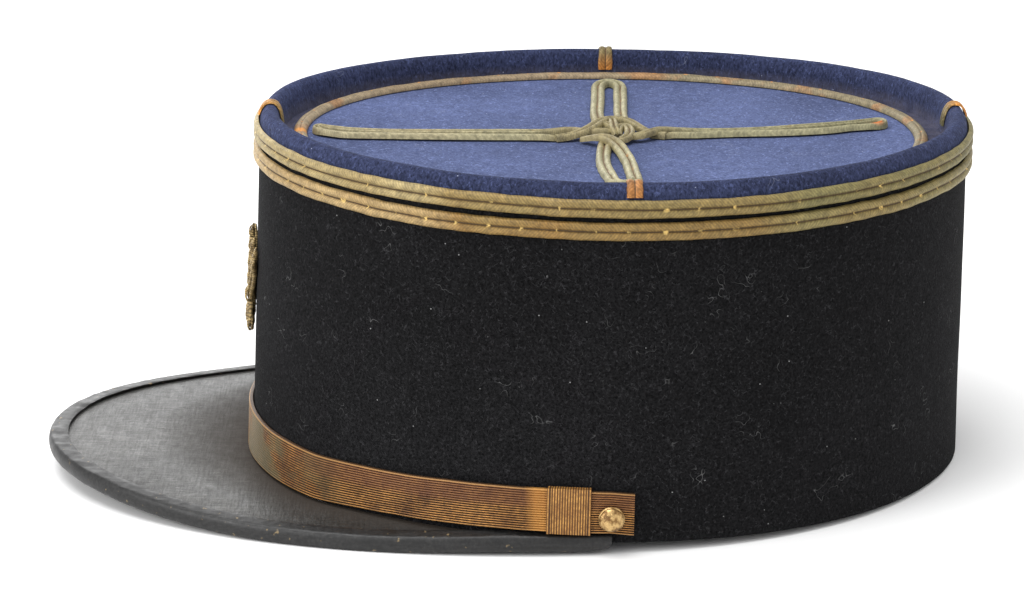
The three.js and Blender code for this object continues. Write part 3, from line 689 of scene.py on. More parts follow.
# %% Rim braids
RIM_BRAID_WIDE = 4.2
RIM_BRAID_THICK = 0.6
RIM_BRAID_FROM = 0.17
RIM_BRAID_TO = 0.93
LEFT_BRAID_BACK = 0.9
RIGHT_BRAID_BACK = 2
RIM_BRAID_LONG = 10
COPPER = (0.62, 0.26, 0.05)
RUST = (0.36, 0.15, 0.04)
RIM_BRAIDS = (
    ("left", math.pi / 2 + LEFT_BRAID_BACK / CROWN[0], (RUST, (0.33, 0.15, 0.05), COPPER, (0.3, 0.17, 0.06))),
    ("right", -math.pi / 2 - RIGHT_BRAID_BACK / CROWN[0], (OLIVE, (0.2, 0.16, 0.07), (0.17, 0.125, 0.05), (0.5, 0.2, 0.04))),
    ("front", 0, (COPPER, (0.45, 0.22, 0.06), (0.4, 0.24, 0.08), OLIVE)),
    ("back", math.pi, ((0.45, 0.18, 0.04), COPPER, (0.24, 0.17, 0.07), (0.14, 0.125, 0.06))),
)


def rim_braid(name, turn):
    outline = soutache(RIM_BRAID_WIDE, RIM_BRAID_THICK, rows=7)
    read = around(outline)

    def place(u, v):
        beside, lift = read(v)
        out, z = rim_at(mix(RIM_BRAID_FROM, RIM_BRAID_TO, u), GAP + lift)
        here = upright_wall(turn, out, z)
        ahead = (upright_wall(turn + 0.001, out, z) - here).normalized()
        return stand(here + ahead * beside * (1 + waver(here, 2, 0.1)))

    return skin(name, 60, len(outline), (RIM_BRAID_LONG, braid_wrap(RIM_BRAID_WIDE, 7)), place)


for name, turn, colours in RIM_BRAIDS:
    braid = Finish("rim_gold_" + name, roughness=0.45, metallic=0.35, specular=0.4)
    shade, groove, stitch = plaited(braid, RIM_BRAID_WIDE)
    along, _ = braid.wrap()
    stops = zip((0.05, 0.35, 0.65, 0.95), colours)
    colour = braid.ramp(braid.math("DIVIDE", along, RIM_BRAID_LONG), *stops)
    colour = braid.shade(colour, braid.noise(0.7, detail=4, rough=0.7), (0.33, 0.55), (0.68, 1.35))
    colour = braid.shade(colour, shade, (0.15, 1.1), (0.85, 0.75))
    # painted shade: the groove between the two cords is darkened
    colour = braid.blend(groove, colour, (0.08, 0.04, 0.015, 1))
    finish(rim_braid("rim_strip_" + name, turn), braid.done(colour), "gold_braid", "rim_braid_" + name)

# %% [markdown]
# ## Crown knot
# The knot is one braid drawn into four loops. In the side loops it lies flat, in the long loops to
# front and back it stands nearly on edge, and in the middle the strands pass over and under each
# other. Each strand is a row of stations: its place on the disc, how high it rides, how wide and
# thick it is, and how far it is rolled on its edge. A smooth curve is drawn through them.

# %% Knot stations
FLAT = (4.1, 1.7)
NEAR_EDGE = (2.3, 1.75, -12)
FAR_EDGE = (2.3, 1.8, 12)


def flat_at(*places, roll=0):
    return tuple((x, y, 0, *FLAT, roll) for x, y in places)


def edge_at(form, *places):
    return tuple((x, y, 0, *form) for x, y in places)


# station: x, y, rise, width, thickness, roll in degrees
FAR_LOOP = (
    (-10, -1.2, 0.2, *FLAT, 0), *flat_at((-16, -2.1), (-26, -2.2), (-40, -1.3), (-52, -0.6)),
    (-58.5, -0.2, 0, 4, 1.8, 0), (-61.6, 1, 0, 3.6, 1.9, 0), (-62.9, 3, 0, 3.4, 2, 0), (-61.8, 5.2, 0, 3.6, 1.9, 0),
    (-58.5, 6.3, 0, 4, 1.8, 0), *flat_at((-52, 6), (-40, 5.4), (-26, 4.6), (-18, 4.6)), (-11, 5.2, 0.2, *FLAT, 0),
)
NEAR_LOOP = (
    (6.3, -7.7, 0.2, 2.6, 1.4, 0), (8.1, -5.9, 0.9, 3, 1.5, 0), (9.7, -4, 1.5, 3.3, 1.6, 0),
    (10.7, -2.2, 1.7, 3.5, 1.6, 6), (13.1, -0.2, 1.5, 3.7, 1.7, 10), (17, 1.5, 1, 3.9, 1.7, 8),
    (23.2, 2.8, 0.4, *FLAT, 0), *flat_at((31.4, 3.7), (39.9, 3.9), (47.2, 4.1)), (51.5, 4, 0, 3.8, 1.8, 0),
    (54.8, 0.8, 0, 3.4, 1.9, 0), (52.1, -1.7, 0, 3.8, 1.8, 0),
    *flat_at((47.8, -2.1), (41.6, -2.8), (34.7, -3.3), (26.1, -3.2), (17.3, -2.5), (10.5, -1.8)),
)
FRONT_LOOP = (
    (4.6, -11.5, 0, 0.5, 0.4, 0), (4.7, -15.5, 0, 1.7, 1.3, 0),
    *edge_at(NEAR_EDGE, (4.5, -18), (4.4, -24), (5, -40), (5.8, -60), (6.3, -73), (5.6, -76), (4, -79.6)),
    *edge_at((2.3, 2, 0), (2.4, -81.6), (0.6, -82.1), (-0.7, -81)),
    *edge_at(FAR_EDGE, (0, -78.4), (0.9, -75.5), (1.9, -72), (2.4, -62), (1.5, -50), (0.7, -39), (-0.1, -28), (-0.4, -20)),
    (-1.4, -16, 0.1, 2.2, 1.8, 0), (-2.6, -12.4, 0.3, 2.4, 1.7, 0), (-2.6, -9.8, 0.4, 2.6, 1.6, 0),
    (-1.6, -7.7, 0.4, 2.6, 1.6, 0), (0.5, -5.2, 0.8, 2.6, 1.6, 0), (0.6, -2.7, 1, 2.6, 1.6, 0),
    (0, -0.4, 0.8, 2.6, 1.5, 0), (-0.8, 1.3, 0.2, 2.4, 1.4, 0),
)
BACK_LOOP = (
    (1.8, 11.5, 0, 0.5, 0.4, 0), (1.9, 15.5, 0, 1.7, 1.3, 0), *edge_at(NEAR_EDGE, (1.5, 18), (1.6, 24), (0.4, 36), (0.2, 45), (-0.4, 54), (-1.8, 62), (-4, 68), (-5, 74)),
    *edge_at((2.3, 2, 0), (-5.8, 77), (-8, 78.3), (-10.3, 77)),
    *edge_at(FAR_EDGE, (-10, 74), (-8.4, 69), (-6.8, 62), (-5.1, 54), (-3, 45), (-1.8, 34), (-1.9, 26)),
    (-2.1, 19.2, 0.2, 2, 1.9, 0), (-2, 16.6, 0.5, 2.2, 1.8, 0), (-0.4, 13.9, 1, 2.6, 1.7, 0),
    (2.8, 11.1, 1.2, 3, 1.6, 0), (4.9, 8.8, 1, 3, 1.6, 0), (5.1, 6.5, 0.7, 2.8, 1.6, 0), (2.7, 4.7, 0.3, 2.6, 1.5, 0),
)
ARCH = (
    (5.6, -15.2, 0, 2.2, 1.9, 0), (4.5, -12.4, 0.2, 2.6, 1.8, 0), (3.4, -9.6, 0.8, 3.1, 1.6, 0), (1.3, -7, 1.3, 3.5, 1.6, 0),
    (-2.2, -4.8, 1.6, 3.6, 1.6, 0), (-6.7, -2.6, 1.8, 3.4, 1.6, 0), (-9.7, -0.2, 1.8, 3, 1.6, 0),
    (-10.7, 2.4, 1.7, 2.8, 1.6, 0), (-10.2, 5.2, 1.4, 2.8, 1.6, 0), (-7.3, 7.3, 1.1, 2.8, 1.6, 0),
    (-3.4, 9, 0.8, 2.6, 1.6, 0), (-1.5, 10.9, 0.2, 2.4, 1.6, 0), (1.1, 13, 0, 2.2, 1.8, 0), (2.4, 15.7, 0, 2, 1.9, 0),
)
INNER = (
    (-4.3, -3.9, 0.4, 2.2, 1.5, 0), (-5.6, -3.1, 1.1, 2.4, 1.5, 0), (-6.3, -1.4, 1.5, 2.6, 1.5, 0),
    (-4.3, 0.1, 1.4, 2.6, 1.5, 0), (-2.2, 0.9, 0.8, 2.4, 1.5, 0), (0.4, 1.4, 0.2, 2.2, 1.4, 0),
)
MIDDLE = (
    (-13.6, 1.1, 1.2, 2.6, 1.5, 0), (-6.1, 1.3, 2, 2.8, 1.5, 0), (-1.3, 1.3, 1.9, 2.8, 1.5, 0),
    (1.5, 1.6, 1.3, 2.6, 1.5, 0), (3, 1.9, 0.5, 2.4, 1.5, 0),
)
LOBE = (
    (3.1, 2.3, 0.3, 2.6, 1.4, 0), (0.7, 2.3, 1.1, 2.8, 1.5, 0), (-2.1, 3, 1.5, 3, 1.5, 0), (-3.3, 4.5, 1.5, 3.1, 1.5, 0),
    (-0.4, 5.5, 1.4, 3.2, 1.5, 0), (4.4, 5.3, 1.2, 3.2, 1.5, 0), (7.5, 4.1, 0.9, 3.2, 1.5, 0),
    (8.7, 2.7, 0.5, 3, 1.5, 0), (8, 1.4, 0.1, 2.8, 1.4, 0),
)
STRANDS = (FAR_LOOP, NEAR_LOOP, FRONT_LOOP, BACK_LOOP, ARCH, INNER, MIDDLE, LOBE)
print(len(STRANDS), "strands")

# %% [markdown]
# A strand lays the braid's section along its curve. At each step the section stands across the
# curve, is scaled to the width and thickness there and turned about the curve by the roll.

# %% Knot strands
def strand(name, stations, steps_each=9):
    steps = steps_each * (len(stations) - 1)
    outline = soutache(1, 1, rows=7)
    read = around(outline)
    rows = [curve_through(stations, i / steps) for i in range(steps + 1)]
    spots = []
    for x, y, rise, *_ in rows:
        spots.append(Vector((x, y, DISC_TOP + GAP + saddle(y, DISC_TOP) + rise)))
    length = sum((b - a).length for a, b in zip(spots, spots[1:]))

    def place(u, v):
        i = round(u * steps)
        _, _, _, wide, thick, roll = rows[i]
        ahead = (spots[min(i + 1, steps)] - spots[max(i - 1, 0)]).normalized()
        beside = Vector((-ahead.y, ahead.x, 0)).normalized()
        rise = ahead.cross(beside)
        if rise.z < 0:
            rise = -rise
        across, lifted = read(v)
        side_turn = math.radians(roll) if ahead.y > 0 else -math.radians(roll)
        turned = Matrix.Rotation(side_turn, 3, ahead)
        uneven = 1 + waver(spots[i], 3, 0.07)
        offset = turned @ (beside * across * wide * uneven + rise * (lifted - 0.5) * thick)
        return stand(spots[i] + rise * 0.5 * thick + offset)

    return skin(name, steps, len(outline), (length, braid_wrap(4.1, 7)), place, smooth=60)


knot_gold = gold_braid("knot_braid_gold", 4.1, (0.36, 0.31, 0.18), (0.34, 0.31, 0.18), (0.27, 0.25, 0.14),
                       groove_shade_colour=(0.15, 0.075, 0.035), glint=(0.4, 0.2, 0.06), contrast=0.82, metal=0.1,
                       rust=stand((-6.5, 76, 91.5)))
knot = join("knot_of_braid", [strand(f"strand_{i}", stations) for i, stations in enumerate(STRANDS)])
finish(knot, knot_gold, "gold_braid", "crown_knot")

# %% [markdown]
# ## Peak
# The peak is a crescent of stiffened leather. At the front its inner edge is tucked in under the
# band, and its rim follows a long half oval. Seen from the side it sags between its ends and its
# tip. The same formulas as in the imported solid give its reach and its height, and the section runs
# across it: tongue, top face, edge and underside. The plate thins and rounds off at its two ends.

# %% The peak's form
PEAK_START = 3.95
PEAK_END = 2.5
PEAK_ROUND = 7
PEAK_HALF_WIDTH = 86.6
PEAK_LENGTH = 155.6
PEAK_THICK = 2.5
PEAK_TUCK = 2.2
TUCK_FROM = 90
TUCK_TO = 97
PEAK_CROWN = 0.7
PEAK_SAG = 3.3
PEAK_SEAT = 2.55
EDGE_HEIGHTS = (0.106, -0.091, -0.288, -0.606, -0.864, -0.97, -1, -0.864, -0.561, -0.182, 0.121)
FOOT_HEIGHTS = (0, 0.02, 0.02, 0.1, -0.04, -0.08, -0.14, -0.39, -0.84, -1, -1)
BINDING_WALL = 0.7
BINDING_WIDE = 5.5
BINDING_SIDE_WIDE = 4.2
PEAK_TURN = math.acos(PEAK_END / FOOT[0])


def peak_reach(turn):
    """Distance along the wall's normal from the band to the outside of the binding."""
    start = upright_wall(turn, 0, 0)
    normal = upright_wall(turn, 1, 0) - start
    y = start.y + PEAK_START
    square = (normal.x / PEAK_HALF_WIDTH) ** 2 + (normal.y / PEAK_LENGTH) ** 2
    linear = start.x * normal.x / PEAK_HALF_WIDTH**2 + y * normal.y / PEAK_LENGTH**2
    constant = (start.x / PEAK_HALF_WIDTH) ** 2 + (y / PEAK_LENGTH) ** 2 - 1
    return (math.sqrt(linear**2 - square * constant) - linear) / square


def height_along(shares, size, where):
    return size * curve_through([(s,) for s in shares], where)[0]


def peak_middle(turn, out, reach):
    """Height of the middle of the leather at a distance from the band."""
    edge = height_along(EDGE_HEIGHTS, PEAK_SAG, (-PEAK_START - upright_wall(turn, reach, 0).y) / PEAK_LENGTH)
    foot = height_along(FOOT_HEIGHTS, PEAK_SEAT, -upright_wall(turn, 0, 0).y / FOOT[0])
    share = min(max(out / reach, 0), 1)
    return mix(foot, edge, share) + 4 * PEAK_CROWN * ease(10, 40, reach) * share * (1 - share)


def rounded_end(turn, high):
    """Height over the middle, with the underside drawn up at the peak's ends."""
    share = min(max((-upright_wall(turn, 0, 0).y - PEAK_END) / PEAK_ROUND, 0), 1)
    full = mix(0.2, 1, math.sqrt(1 - (1 - share) ** 2))
    return high * full if high < 0 else high


print("peak's reach at its tip, mm:", round(peak_reach(0), 1))

# %% Lay the peak
PEAK_COLUMNS = 26


def place_peak(u, v):
    turn = mix(-PEAK_TURN, PEAK_TURN, u)
    spot = round(v * (2 * PEAK_COLUMNS + 4))
    top = spot < PEAK_COLUMNS + 2
    column = spot if top else 2 * PEAK_COLUMNS + 3 - spot
    column = max(column, 0) if spot < 2 * PEAK_COLUMNS + 4 else 0
    top = top or spot == 2 * PEAK_COLUMNS + 4
    half = PEAK_THICK / 2 if top else -PEAK_THICK / 2
    wall_y = upright_wall(turn, 0, 0).y
    reach = peak_reach(turn)
    edge = reach - BINDING_WALL - GAP
    start = GAP + min(GAP, (edge - GAP) * 0.3)
    if column > 1:
        out = mix(start, edge, (column - 2) / (PEAK_COLUMNS - 1))
        return wall(turn, out, peak_middle(turn, out, reach) + rounded_end(turn, half))
    tucked = ease(TUCK_FROM, TUCK_TO, -wall_y)
    out = GAP if column == 1 else 0.15 - (PEAK_TUCK + 0.15) * tucked
    under = -foot_dip(wall_y) - GAP - PEAK_THICK / 2
    low = mix(peak_middle(turn, start, reach), under, tucked)
    return wall(turn, out, low + rounded_end(turn, half))


peak_rows = 2 * PEAK_COLUMNS + 4
peak = skin("peak_leather", 200, peak_rows, (330, peak_rows), place_peak)

# %% [markdown]
# ## Leather finish
# The leather is embossed with a fine, uneven linen grain, so two crossed sets of stripes make the
# relief, bent by noise. It has a soft, wide gloss, fine scratches and grey scuffs. Near the band it
# is darker and browner: painted shade and a painted reflection of the dark band.

# %% Leather
def leather(name, dark, light, roughness, grain, specular, scratched=0.25):
    """Returns the finish and its colour, so that a piece can add its own wear and painted shade before it is done."""
    hide = Finish(name, roughness=roughness, specular=specular)
    one_way = hide.noise(1.3, detail=2, stretch=(0.1, 1, 1))
    other_way = hide.noise(1.3, detail=2, stretch=(1, 0.1, 1))
    threads = hide.math("MULTIPLY", hide.math("ADD", one_way, other_way), 0.5)
    fine = hide.noise(1.1, detail=4, rough=0.7)
    colour = hide.ramp(fine, (0.3, dark), (0.7, light))
    colour = hide.shade(colour, hide.noise(0.035, detail=4), (0.35, 0.75), (0.65, 1.3))
    colour = hide.shade(colour, threads, (0.38, 0.65), (0.62, 1.3))
    scratches = hide.math("MULTIPLY", hide.hairs(0.16, 0.008, detail=1), hide.ramp(hide.noise(0.05), (0.6, 0.0), (0.7, scratched)))
    colour = hide.blend(scratches, colour, (0.2, 0.19, 0.17, 1))
    hide.relief(threads, grain * 2.5)
    hide.relief(fine, grain * 0.8)
    return hide, colour


def hide_gloss(hide, roughness):
    return hide.ramp(hide.noise(0.3, detail=5, rough=0.7), (0.3, roughness - 0.07), (0.7, roughness + 0.1))


hide, colour = leather("peak_leather_finish", (0.026, 0.0255, 0.0245), (0.068, 0.066, 0.062), 0.46, 0.08, 0.42)
_, column = hide.wrap()
# painted shade and a painted reflection of the dark band: darker, browner leather next to the band, under the strap; it
# is also made rougher there
near_band_shade = hide.ramp(hide.math("DIVIDE", column, peak_rows), (0.04, 0.95), (0.26, 0.0))
# painted reflection of the dark band and painted shade: the leather is darkened towards the back, beside the band
beside_band_shade = hide.ramp(hide.math("MULTIPLY", hide.math("ADD", hide.spot("y"), 0.1), 10.0), (0.2, 1.0), (0.6, 0.35))
colour = hide.blend(1.0, colour, beside_band_shade, "MULTIPLY")
colour = hide.blend(near_band_shade, colour, (0.026, 0.018, 0.012, 1))
gloss = hide.math("ADD", hide_gloss(hide, 0.42), hide.math("MULTIPLY", near_band_shade, 0.4))
finish(peak, hide.done(colour, gloss), "peak_leather", "peak")

# %% [markdown]
# ## Binding
# A narrow strip of smoother leather is folded round the peak's edge and stitched through. Its
# section is a U with a full, round outside. At the tip it is wider and gathered in creases.

# %% Binding
def binding_outline():
    inside = PEAK_THICK / 2 + GAP
    outside = inside + BINDING_WALL
    angles = [math.pi * (i / 14 - 0.5) for i in range(15)]
    nose = [(outside * 0.55 * (1 - math.cos(a)), outside * math.sin(a)) for a in angles]
    wide = BINDING_WIDE
    top = [(mix(outside * 0.55, wide, i / 5), outside - 0.15 * (i == 5)) for i in range(1, 6)]
    under = [(x, -z) for x, z in reversed(top)]
    inner = [(wide, inside), (BINDING_WALL, inside), (BINDING_WALL, -inside), (wide, -inside)]
    return under + nose + top + inner


def place_binding():
    outline = binding_outline()
    read = around(outline)
    inside = PEAK_THICK / 2 + GAP

    def place(u, v):
        turn = mix(-PEAK_TURN, PEAK_TURN, u)
        reach = peak_reach(turn)
        inset, high = read(v)
        tip = math.cos(turn) ** 2
        if inset > (inside + BINDING_WALL) * 0.55:
            inset *= mix(BINDING_SIDE_WIDE, BINDING_WIDE, tip) / BINDING_WIDE
        out = max(reach - inset, min(2 * GAP, reach - BINDING_WALL - GAP / 2))
        along = u * 400
        crease = 0.0
        if abs(high) > inside:
            crease = 0.1 * noise.noise(Vector((along / 1.6, inset, 0)))
            crease += 0.22 * tip**6 * noise.noise(Vector((along / 2.6, inset / 4, 7)))
        return wall(turn, out, peak_middle(turn, out, reach) + rounded_end(turn, high) + crease)

    return place, len(outline)


place, across = place_binding()
binding = skin("edge_binding", 520, across, (400, across), place)
hide, colour = leather("binding_leather_finish", (0.005, 0.005, 0.0055), (0.02, 0.0195, 0.019), 0.42, 0.03, 0.38, scratched=0.0)
flecks = hide.ramp(hide.noise(0.5, detail=2), (0.68, 0.0), (0.74, 0.8))
colour = hide.blend(flecks, colour, (0.22, 0.16, 0.08, 1))
finish(binding, hide.done(colour, hide_gloss(hide, 0.42)), "binding_leather", "peak_binding")

# %% [markdown]
# ## Chin strap
# The strap is woven gold lace with fine ribs along it. The ribs are real relief here, one small hump
# each; the finish adds no cross threads. Its lower and upper edges follow a short table
# of heights, as shares of the strap's height, from the buttons round to the front.

# %% Strap
STRAP_HIGH = 11.6
STRAP_THICK = 1.1
STRAP_OFF_FRONT = 0.4
STRAP_OFF_SIDE = 1.15
STRAP_RIBS = 18
PER_RIB = 5
# row: distance in front of the middle as a share of the half length, low edge, high edge
STRAP_ROWS = ((-0.03, 0.24, 1.22), (0.03, 0.3, 1.27), (0.2, 0.29, 1.3), (0.33, 0.28, 1.29), (0.45, 0.25, 1.265),
              (0.58, 0.21, 1.21), (0.67, 0.15, 1.17), (0.74, 0.08, 1.125), (0.8, 0, 1.07), (0.88, -0.03, 1.06),
              (0.94, -0.035, 1.05), (1, -0.07, 1.06))
STRAP_TURN = math.acos(STRAP_ROWS[0][0])


def strap_at(turn):
    front = math.cos(turn)
    i = next((i for i, row in enumerate(STRAP_ROWS) if row[0] >= front - 1e-9), 1)
    before, after = STRAP_ROWS[max(i, 1) - 1], STRAP_ROWS[max(i, 1)]
    share = (front - before[0]) / (after[0] - before[0])
    low = mix(before[1], after[1], share) * STRAP_HIGH
    high = mix(before[2], after[2], share) * STRAP_HIGH
    return low, high, mix(STRAP_OFF_FRONT, STRAP_OFF_SIDE, ease(0.5, 1.25, abs(turn)))


def ribbed(ribs, depth):
    """A ribbed face as (up, out) in shares of height and thickness, with a plain back."""
    face = []
    for i in range(ribs * PER_RIB + 1):
        share = i / (ribs * PER_RIB)
        hump = abs(math.sin(math.pi * share * ribs))
        face.append((share, 1 - depth + depth * hump))
    return face + [(1, 0), (0.5, 0), (0, 0)]


def place_strap():
    read = around(ribbed(STRAP_RIBS, 0.3))

    def place(u, v):
        turn = mix(-STRAP_TURN, STRAP_TURN, u)
        low, high, off = strap_at(turn)
        up_strap, proud = read(v)
        flat = upright_wall(turn, 0, 0)
        ragged = waver(flat * 9, 1, 0.35) * (abs(u - 0.5) > 0.499)
        return wall(turn + ragged * 0.004, off + proud * STRAP_THICK, mix(low, high, up_strap) + waver(flat, 14, 0.12))

    return place


def lace(name, bright, dull, dark, ribs, per_rib, worn=0.12):
    """Ribs are read along `ribs`, with painted shade in the valleys between them; returns the finish and its colour."""
    gold = Finish(name, roughness=0.5, metallic=0.3, specular=0.4)
    rib = gold.stripes(ribs(gold), 1 / per_rib)
    wear = gold.noise(worn, detail=5, rough=0.65)
    colour = gold.ramp(wear, (0.32, dull), (0.62, bright))
    colour = gold.shade(colour, gold.noise(0.9, detail=4, rough=0.75), (0.3, 0.45), (0.7, 1.5))
    # painted shade: the valleys between the ribs are darkened towards the dark colour
    rib_valley_shade = gold.ramp(rib, (0.2, 0.0), (0.62, 0.97))
    colour = gold.blend(rib_valley_shade, colour, (*dark, 1))
    gold.relief(gold.noise(1.8, detail=3), 0.12)
    return gold, colour


STRAP_POINTS = STRAP_RIBS * PER_RIB + 4
strap = skin("strap_lace", 520, STRAP_POINTS, (270, STRAP_POINTS), place_strap(), smooth=70)
gold, colour = lace("strap_lace_finish", (0.47, 0.22, 0.055), (0.17, 0.072, 0.02), (0.016, 0.006, 0.003),
                    lambda finish: finish.wrap()[1], PER_RIB)
rows = gold.math("DIVIDE", gold.wrap()[1], STRAP_RIBS * PER_RIB)
front_part = gold.ramp(gold.math("MULTIPLY", gold.math("ADD", gold.spot("y"), 0.07), 5.0), (0.02, 1.0), (0.14, 0.0))
green_here = gold.math("MULTIPLY", front_part, gold.ramp(gold.noise(0.08, detail=3), (0.46, 0.0), (0.56, 0.7)))
colour = gold.blend(green_here, colour, (0.11, 0.1, 0.05, 1))
upper_half = gold.math("MULTIPLY", gold.ramp(rows, (0.5, 0.0), (0.62, 0.6)), gold.math("SUBTRACT", 1.0, front_part))
colour = gold.blend(upper_half, colour, (0.12, 0.045, 0.022, 1))
edges = gold.ramp(gold.math("ABSOLUTE", gold.math("SUBTRACT", rows, 0.5)), (0.46, 0.0), (0.48, 0.75))
colour = gold.blend(edges, colour, (0.36, 0.19, 0.06, 1))
# painted shade: the strap's thin top face is darkened against the light from above
colour = gold.blend(gold.ramp(rows, (0.99, 0.0), (1.0, 1.0)), colour, (0.06, 0.028, 0.01, 1))
# painted highlight: a brighter gold band on the strap just before the slide
highlight_near_slide = gold.ramp(gold.math("MULTIPLY", gold.math("ABSOLUTE", gold.math("SUBTRACT", gold.spot("y"), 0.0065)), 100.0),
                       (0.1, 0.55), (0.4, 0.0))
colour = gold.blend(highlight_near_slide, colour, (0.6, 0.28, 0.06, 1))
finish(strap, gold.done(colour), "strap_lace", "chin_strap")

# %% [markdown]
# ## Slides
# Each slide is a piece of the same lace folded round the strap, with its ribs upright. It is a flat
# sleeve: its section goes round the strap, and the ribs ripple along its length.

# %% Slides
SLIDE_WALL = 0.3
SLIDE_SPACE = 0.12
SLIDE_LONG = 11.3
SLIDE_FRONT = 19.4
SLIDE_RIBS = 17
SLIDE_PER_RIB = 6


def sleeve_outline():
    """The sleeve's outside and inside, each a closed outline as (out, up)."""
    low, high, off = strap_at(math.acos(SLIDE_FRONT / FOOT[0]))
    outlines = []
    for grow in (SLIDE_SPACE + SLIDE_WALL, SLIDE_SPACE):
        back, face = off - grow, off + STRAP_THICK + grow
        bottom, top = low - grow, high + grow
        faces = [(face - 0.2 * (i in (0, 12)), mix(bottom, top, i / 12)) for i in range(13)]
        outlines.append(faces + [(back, mix(top, bottom, i / 12)) for i in range(13)])
    return outlines


def slide(name, side):
    outer, inner = sleeve_outline()
    turns = [math.acos(SLIDE_FRONT / FOOT[0]), math.acos((SLIDE_FRONT - SLIDE_LONG) / FOOT[0])]
    steps = SLIDE_RIBS * SLIDE_PER_RIB
    count = len(outer)

    def place(u, v):
        spot = round(u * (2 * steps + 2))
        front_face = spot <= steps
        share = spot / steps if front_face else (2 * steps + 1 - spot) / steps
        share = max(share, 0) if spot < 2 * steps + 2 else 0
        front_face = front_face or spot == 2 * steps + 2
        points = outer if front_face else inner
        out, z = points[round(v * count) % count]
        rib = 0.14 * (1 - abs(math.sin(math.pi * share * SLIDE_RIBS))) if front_face and out > STRAP_OFF_SIDE else 0
        fold = 0.18 if min(share, 1 - share) < 0.07 and front_face and out > STRAP_OFF_SIDE else 0
        return wall(side * mix(turns[0], turns[1], share), out - rib + fold, z)

    return skin(name, 2 * steps + 2, count, (2 * steps + 2, count), place, closed_along=True, smooth=60)


gold, colour = lace("slide_lace_finish", (0.52, 0.27, 0.07), (0.3, 0.135, 0.032), (0.1, 0.04, 0.012),
                    lambda finish: finish.wrap()[0], SLIDE_PER_RIB, worn=0.25)
slide_share = gold.math("DIVIDE", gold.wrap()[0], SLIDE_RIBS * SLIDE_PER_RIB)
beside_fold_shade = gold.math("ABSOLUTE", gold.math("SUBTRACT", gold.math("ABSOLUTE", gold.math("SUBTRACT", slide_share, 0.5)), 0.425))
# painted shade: a dark line in the hollow beside each folded edge of the slide
colour = gold.blend(gold.ramp(beside_fold_shade, (0.006, 0.85), (0.016, 0.0)), colour, (0.03, 0.012, 0.006, 1))
slide_gold = gold.done(colour)
for side, sign in (("left", 1), ("right", -1)):
    finish(slide("folded_slide_" + side, sign), slide_gold, "strap_lace", "strap_slide_" + side)

# %% [markdown]
# ## Buttons
# A gilt dome with a rolled rim. In place of any device it has a plain rosette in relief: a boss and
# two rings of small petals, each a flattened ball set on the dome.

# %% Buttons
BUTTON_RADIUS = 3.5
BUTTON_HIGH = 2.7
BUTTON_FRONT = 2.8
BUTTON_HEIGHT = 7.7
BUTTON_PROFILE = ((0, 0), (0.86, 0), (0.97, 0.05), (1, 0.16), (0.97, 0.27), (0.92, 0.33), (0.93, 0.42), (0.87, 0.58),
                  (0.73, 0.74), (0.5, 0.87), (0.25, 0.94), (0, 0.96))


def button(name, side):
    turn = side * math.acos(BUTTON_FRONT / FOOT[0])
    off = STRAP_OFF_SIDE + STRAP_THICK + GAP
    seat = upright_wall(turn, off, BUTTON_HEIGHT)
    outward = (upright_wall(turn, off + 1, BUTTON_HEIGHT) - seat).normalized()
    upward = Vector((0, 0, 1))
    beside = upward.cross(outward).normalized()

    def at(x, y, high):
        return stand(seat + beside * x + upward * y + outward * high)

    def place(u, v):
        radius, high = curve_through(BUTTON_PROFILE, v)
        angle = u * math.tau
        radius = max(radius, 0) * BUTTON_RADIUS
        return at(radius * math.cos(angle), radius * math.sin(angle), max(high, 0) * BUTTON_HIGH)

    parts = [skin(name + "_dome", 48, 33, (22, 8), place, closed_along=True, smooth=60)]
    for ring, count, distance, size in ((0, 1, 0, 0.6), (1, 6, 1.0, 0.45), (2, 12, 1.95, 0.36)):
        for k in range(count):
            angle = math.tau * (k + 0.5 * ring) / count
            x, y = distance * math.cos(angle), distance * math.sin(angle)
            high = BUTTON_HIGH * (0.96 - 0.42 * (distance / BUTTON_RADIUS) ** 2.2) - size * 0.55

            def petal(u, v, x=x, y=y, high=high, size=size):
                around_it, down = u * math.tau, v * math.pi
                flat = size * math.sin(down)
                up_face = high + size * 0.8 * math.cos(down)
                return at(x + flat * math.cos(around_it), y + flat * math.sin(around_it), up_face)

            parts.append(skin(f"{name}_petal", 12, 8, (2, 2), petal, closed_along=True, smooth=60))
    return join(name, parts)


gilt = Finish("gilt", roughness=0.36, metallic=0.75)
gilt_worn = gilt.ramp(gilt.noise(0.6, detail=4), (0.38, (0.22, 0.12, 0.04)), (0.58, (0.6, 0.4, 0.17)))
tarnish = gilt.ramp(gilt.noise(0.45, detail=3), (0.56, 0.0), (0.66, 0.85))
gilt_worn = gilt.blend(tarnish, gilt_worn, (0.16, 0.08, 0.03, 1))
gilt.relief(gilt.noise(1.2, detail=2), 0.08)
gilt_finish = gilt.done(gilt_worn)
for side, sign in (("left", 1), ("right", -1)):
    finish(button("dome_button_" + side, sign), gilt_finish, "button_brass", "button_" + side)

# %% [markdown]
# ## Badge
# The badge is a plain flaming ball worked in bullion: each of its seven flames is a bundle of
# twisted cords, laid on the front of the band, and the ball is a coil of the same cord, domed in the
# middle. A few loops of wire stand off it. `cord` sweeps a twisted cord along a row of places.

# %% Badge
BADGE_LOW = 30.5
BALL_RADIUS = 5.6
BALL_MIDDLE = BADGE_LOW + BALL_RADIUS
FLAME_HIGH = 25.4
FLAMES = ((0, 1), (0.3, 0.92), (-0.3, 0.92), (0.62, 0.86), (-0.62, 0.86), (0.95, 0.72), (-0.95, 0.72))


def on_front(x, out, z):
    """A place on the front of the band: x to the wearer's left, out from the cloth."""
    width = mix(FOOT[1], CROWN[1], z / CREST)
    return upright_wall(math.asin(x / width), GAP + out, z)


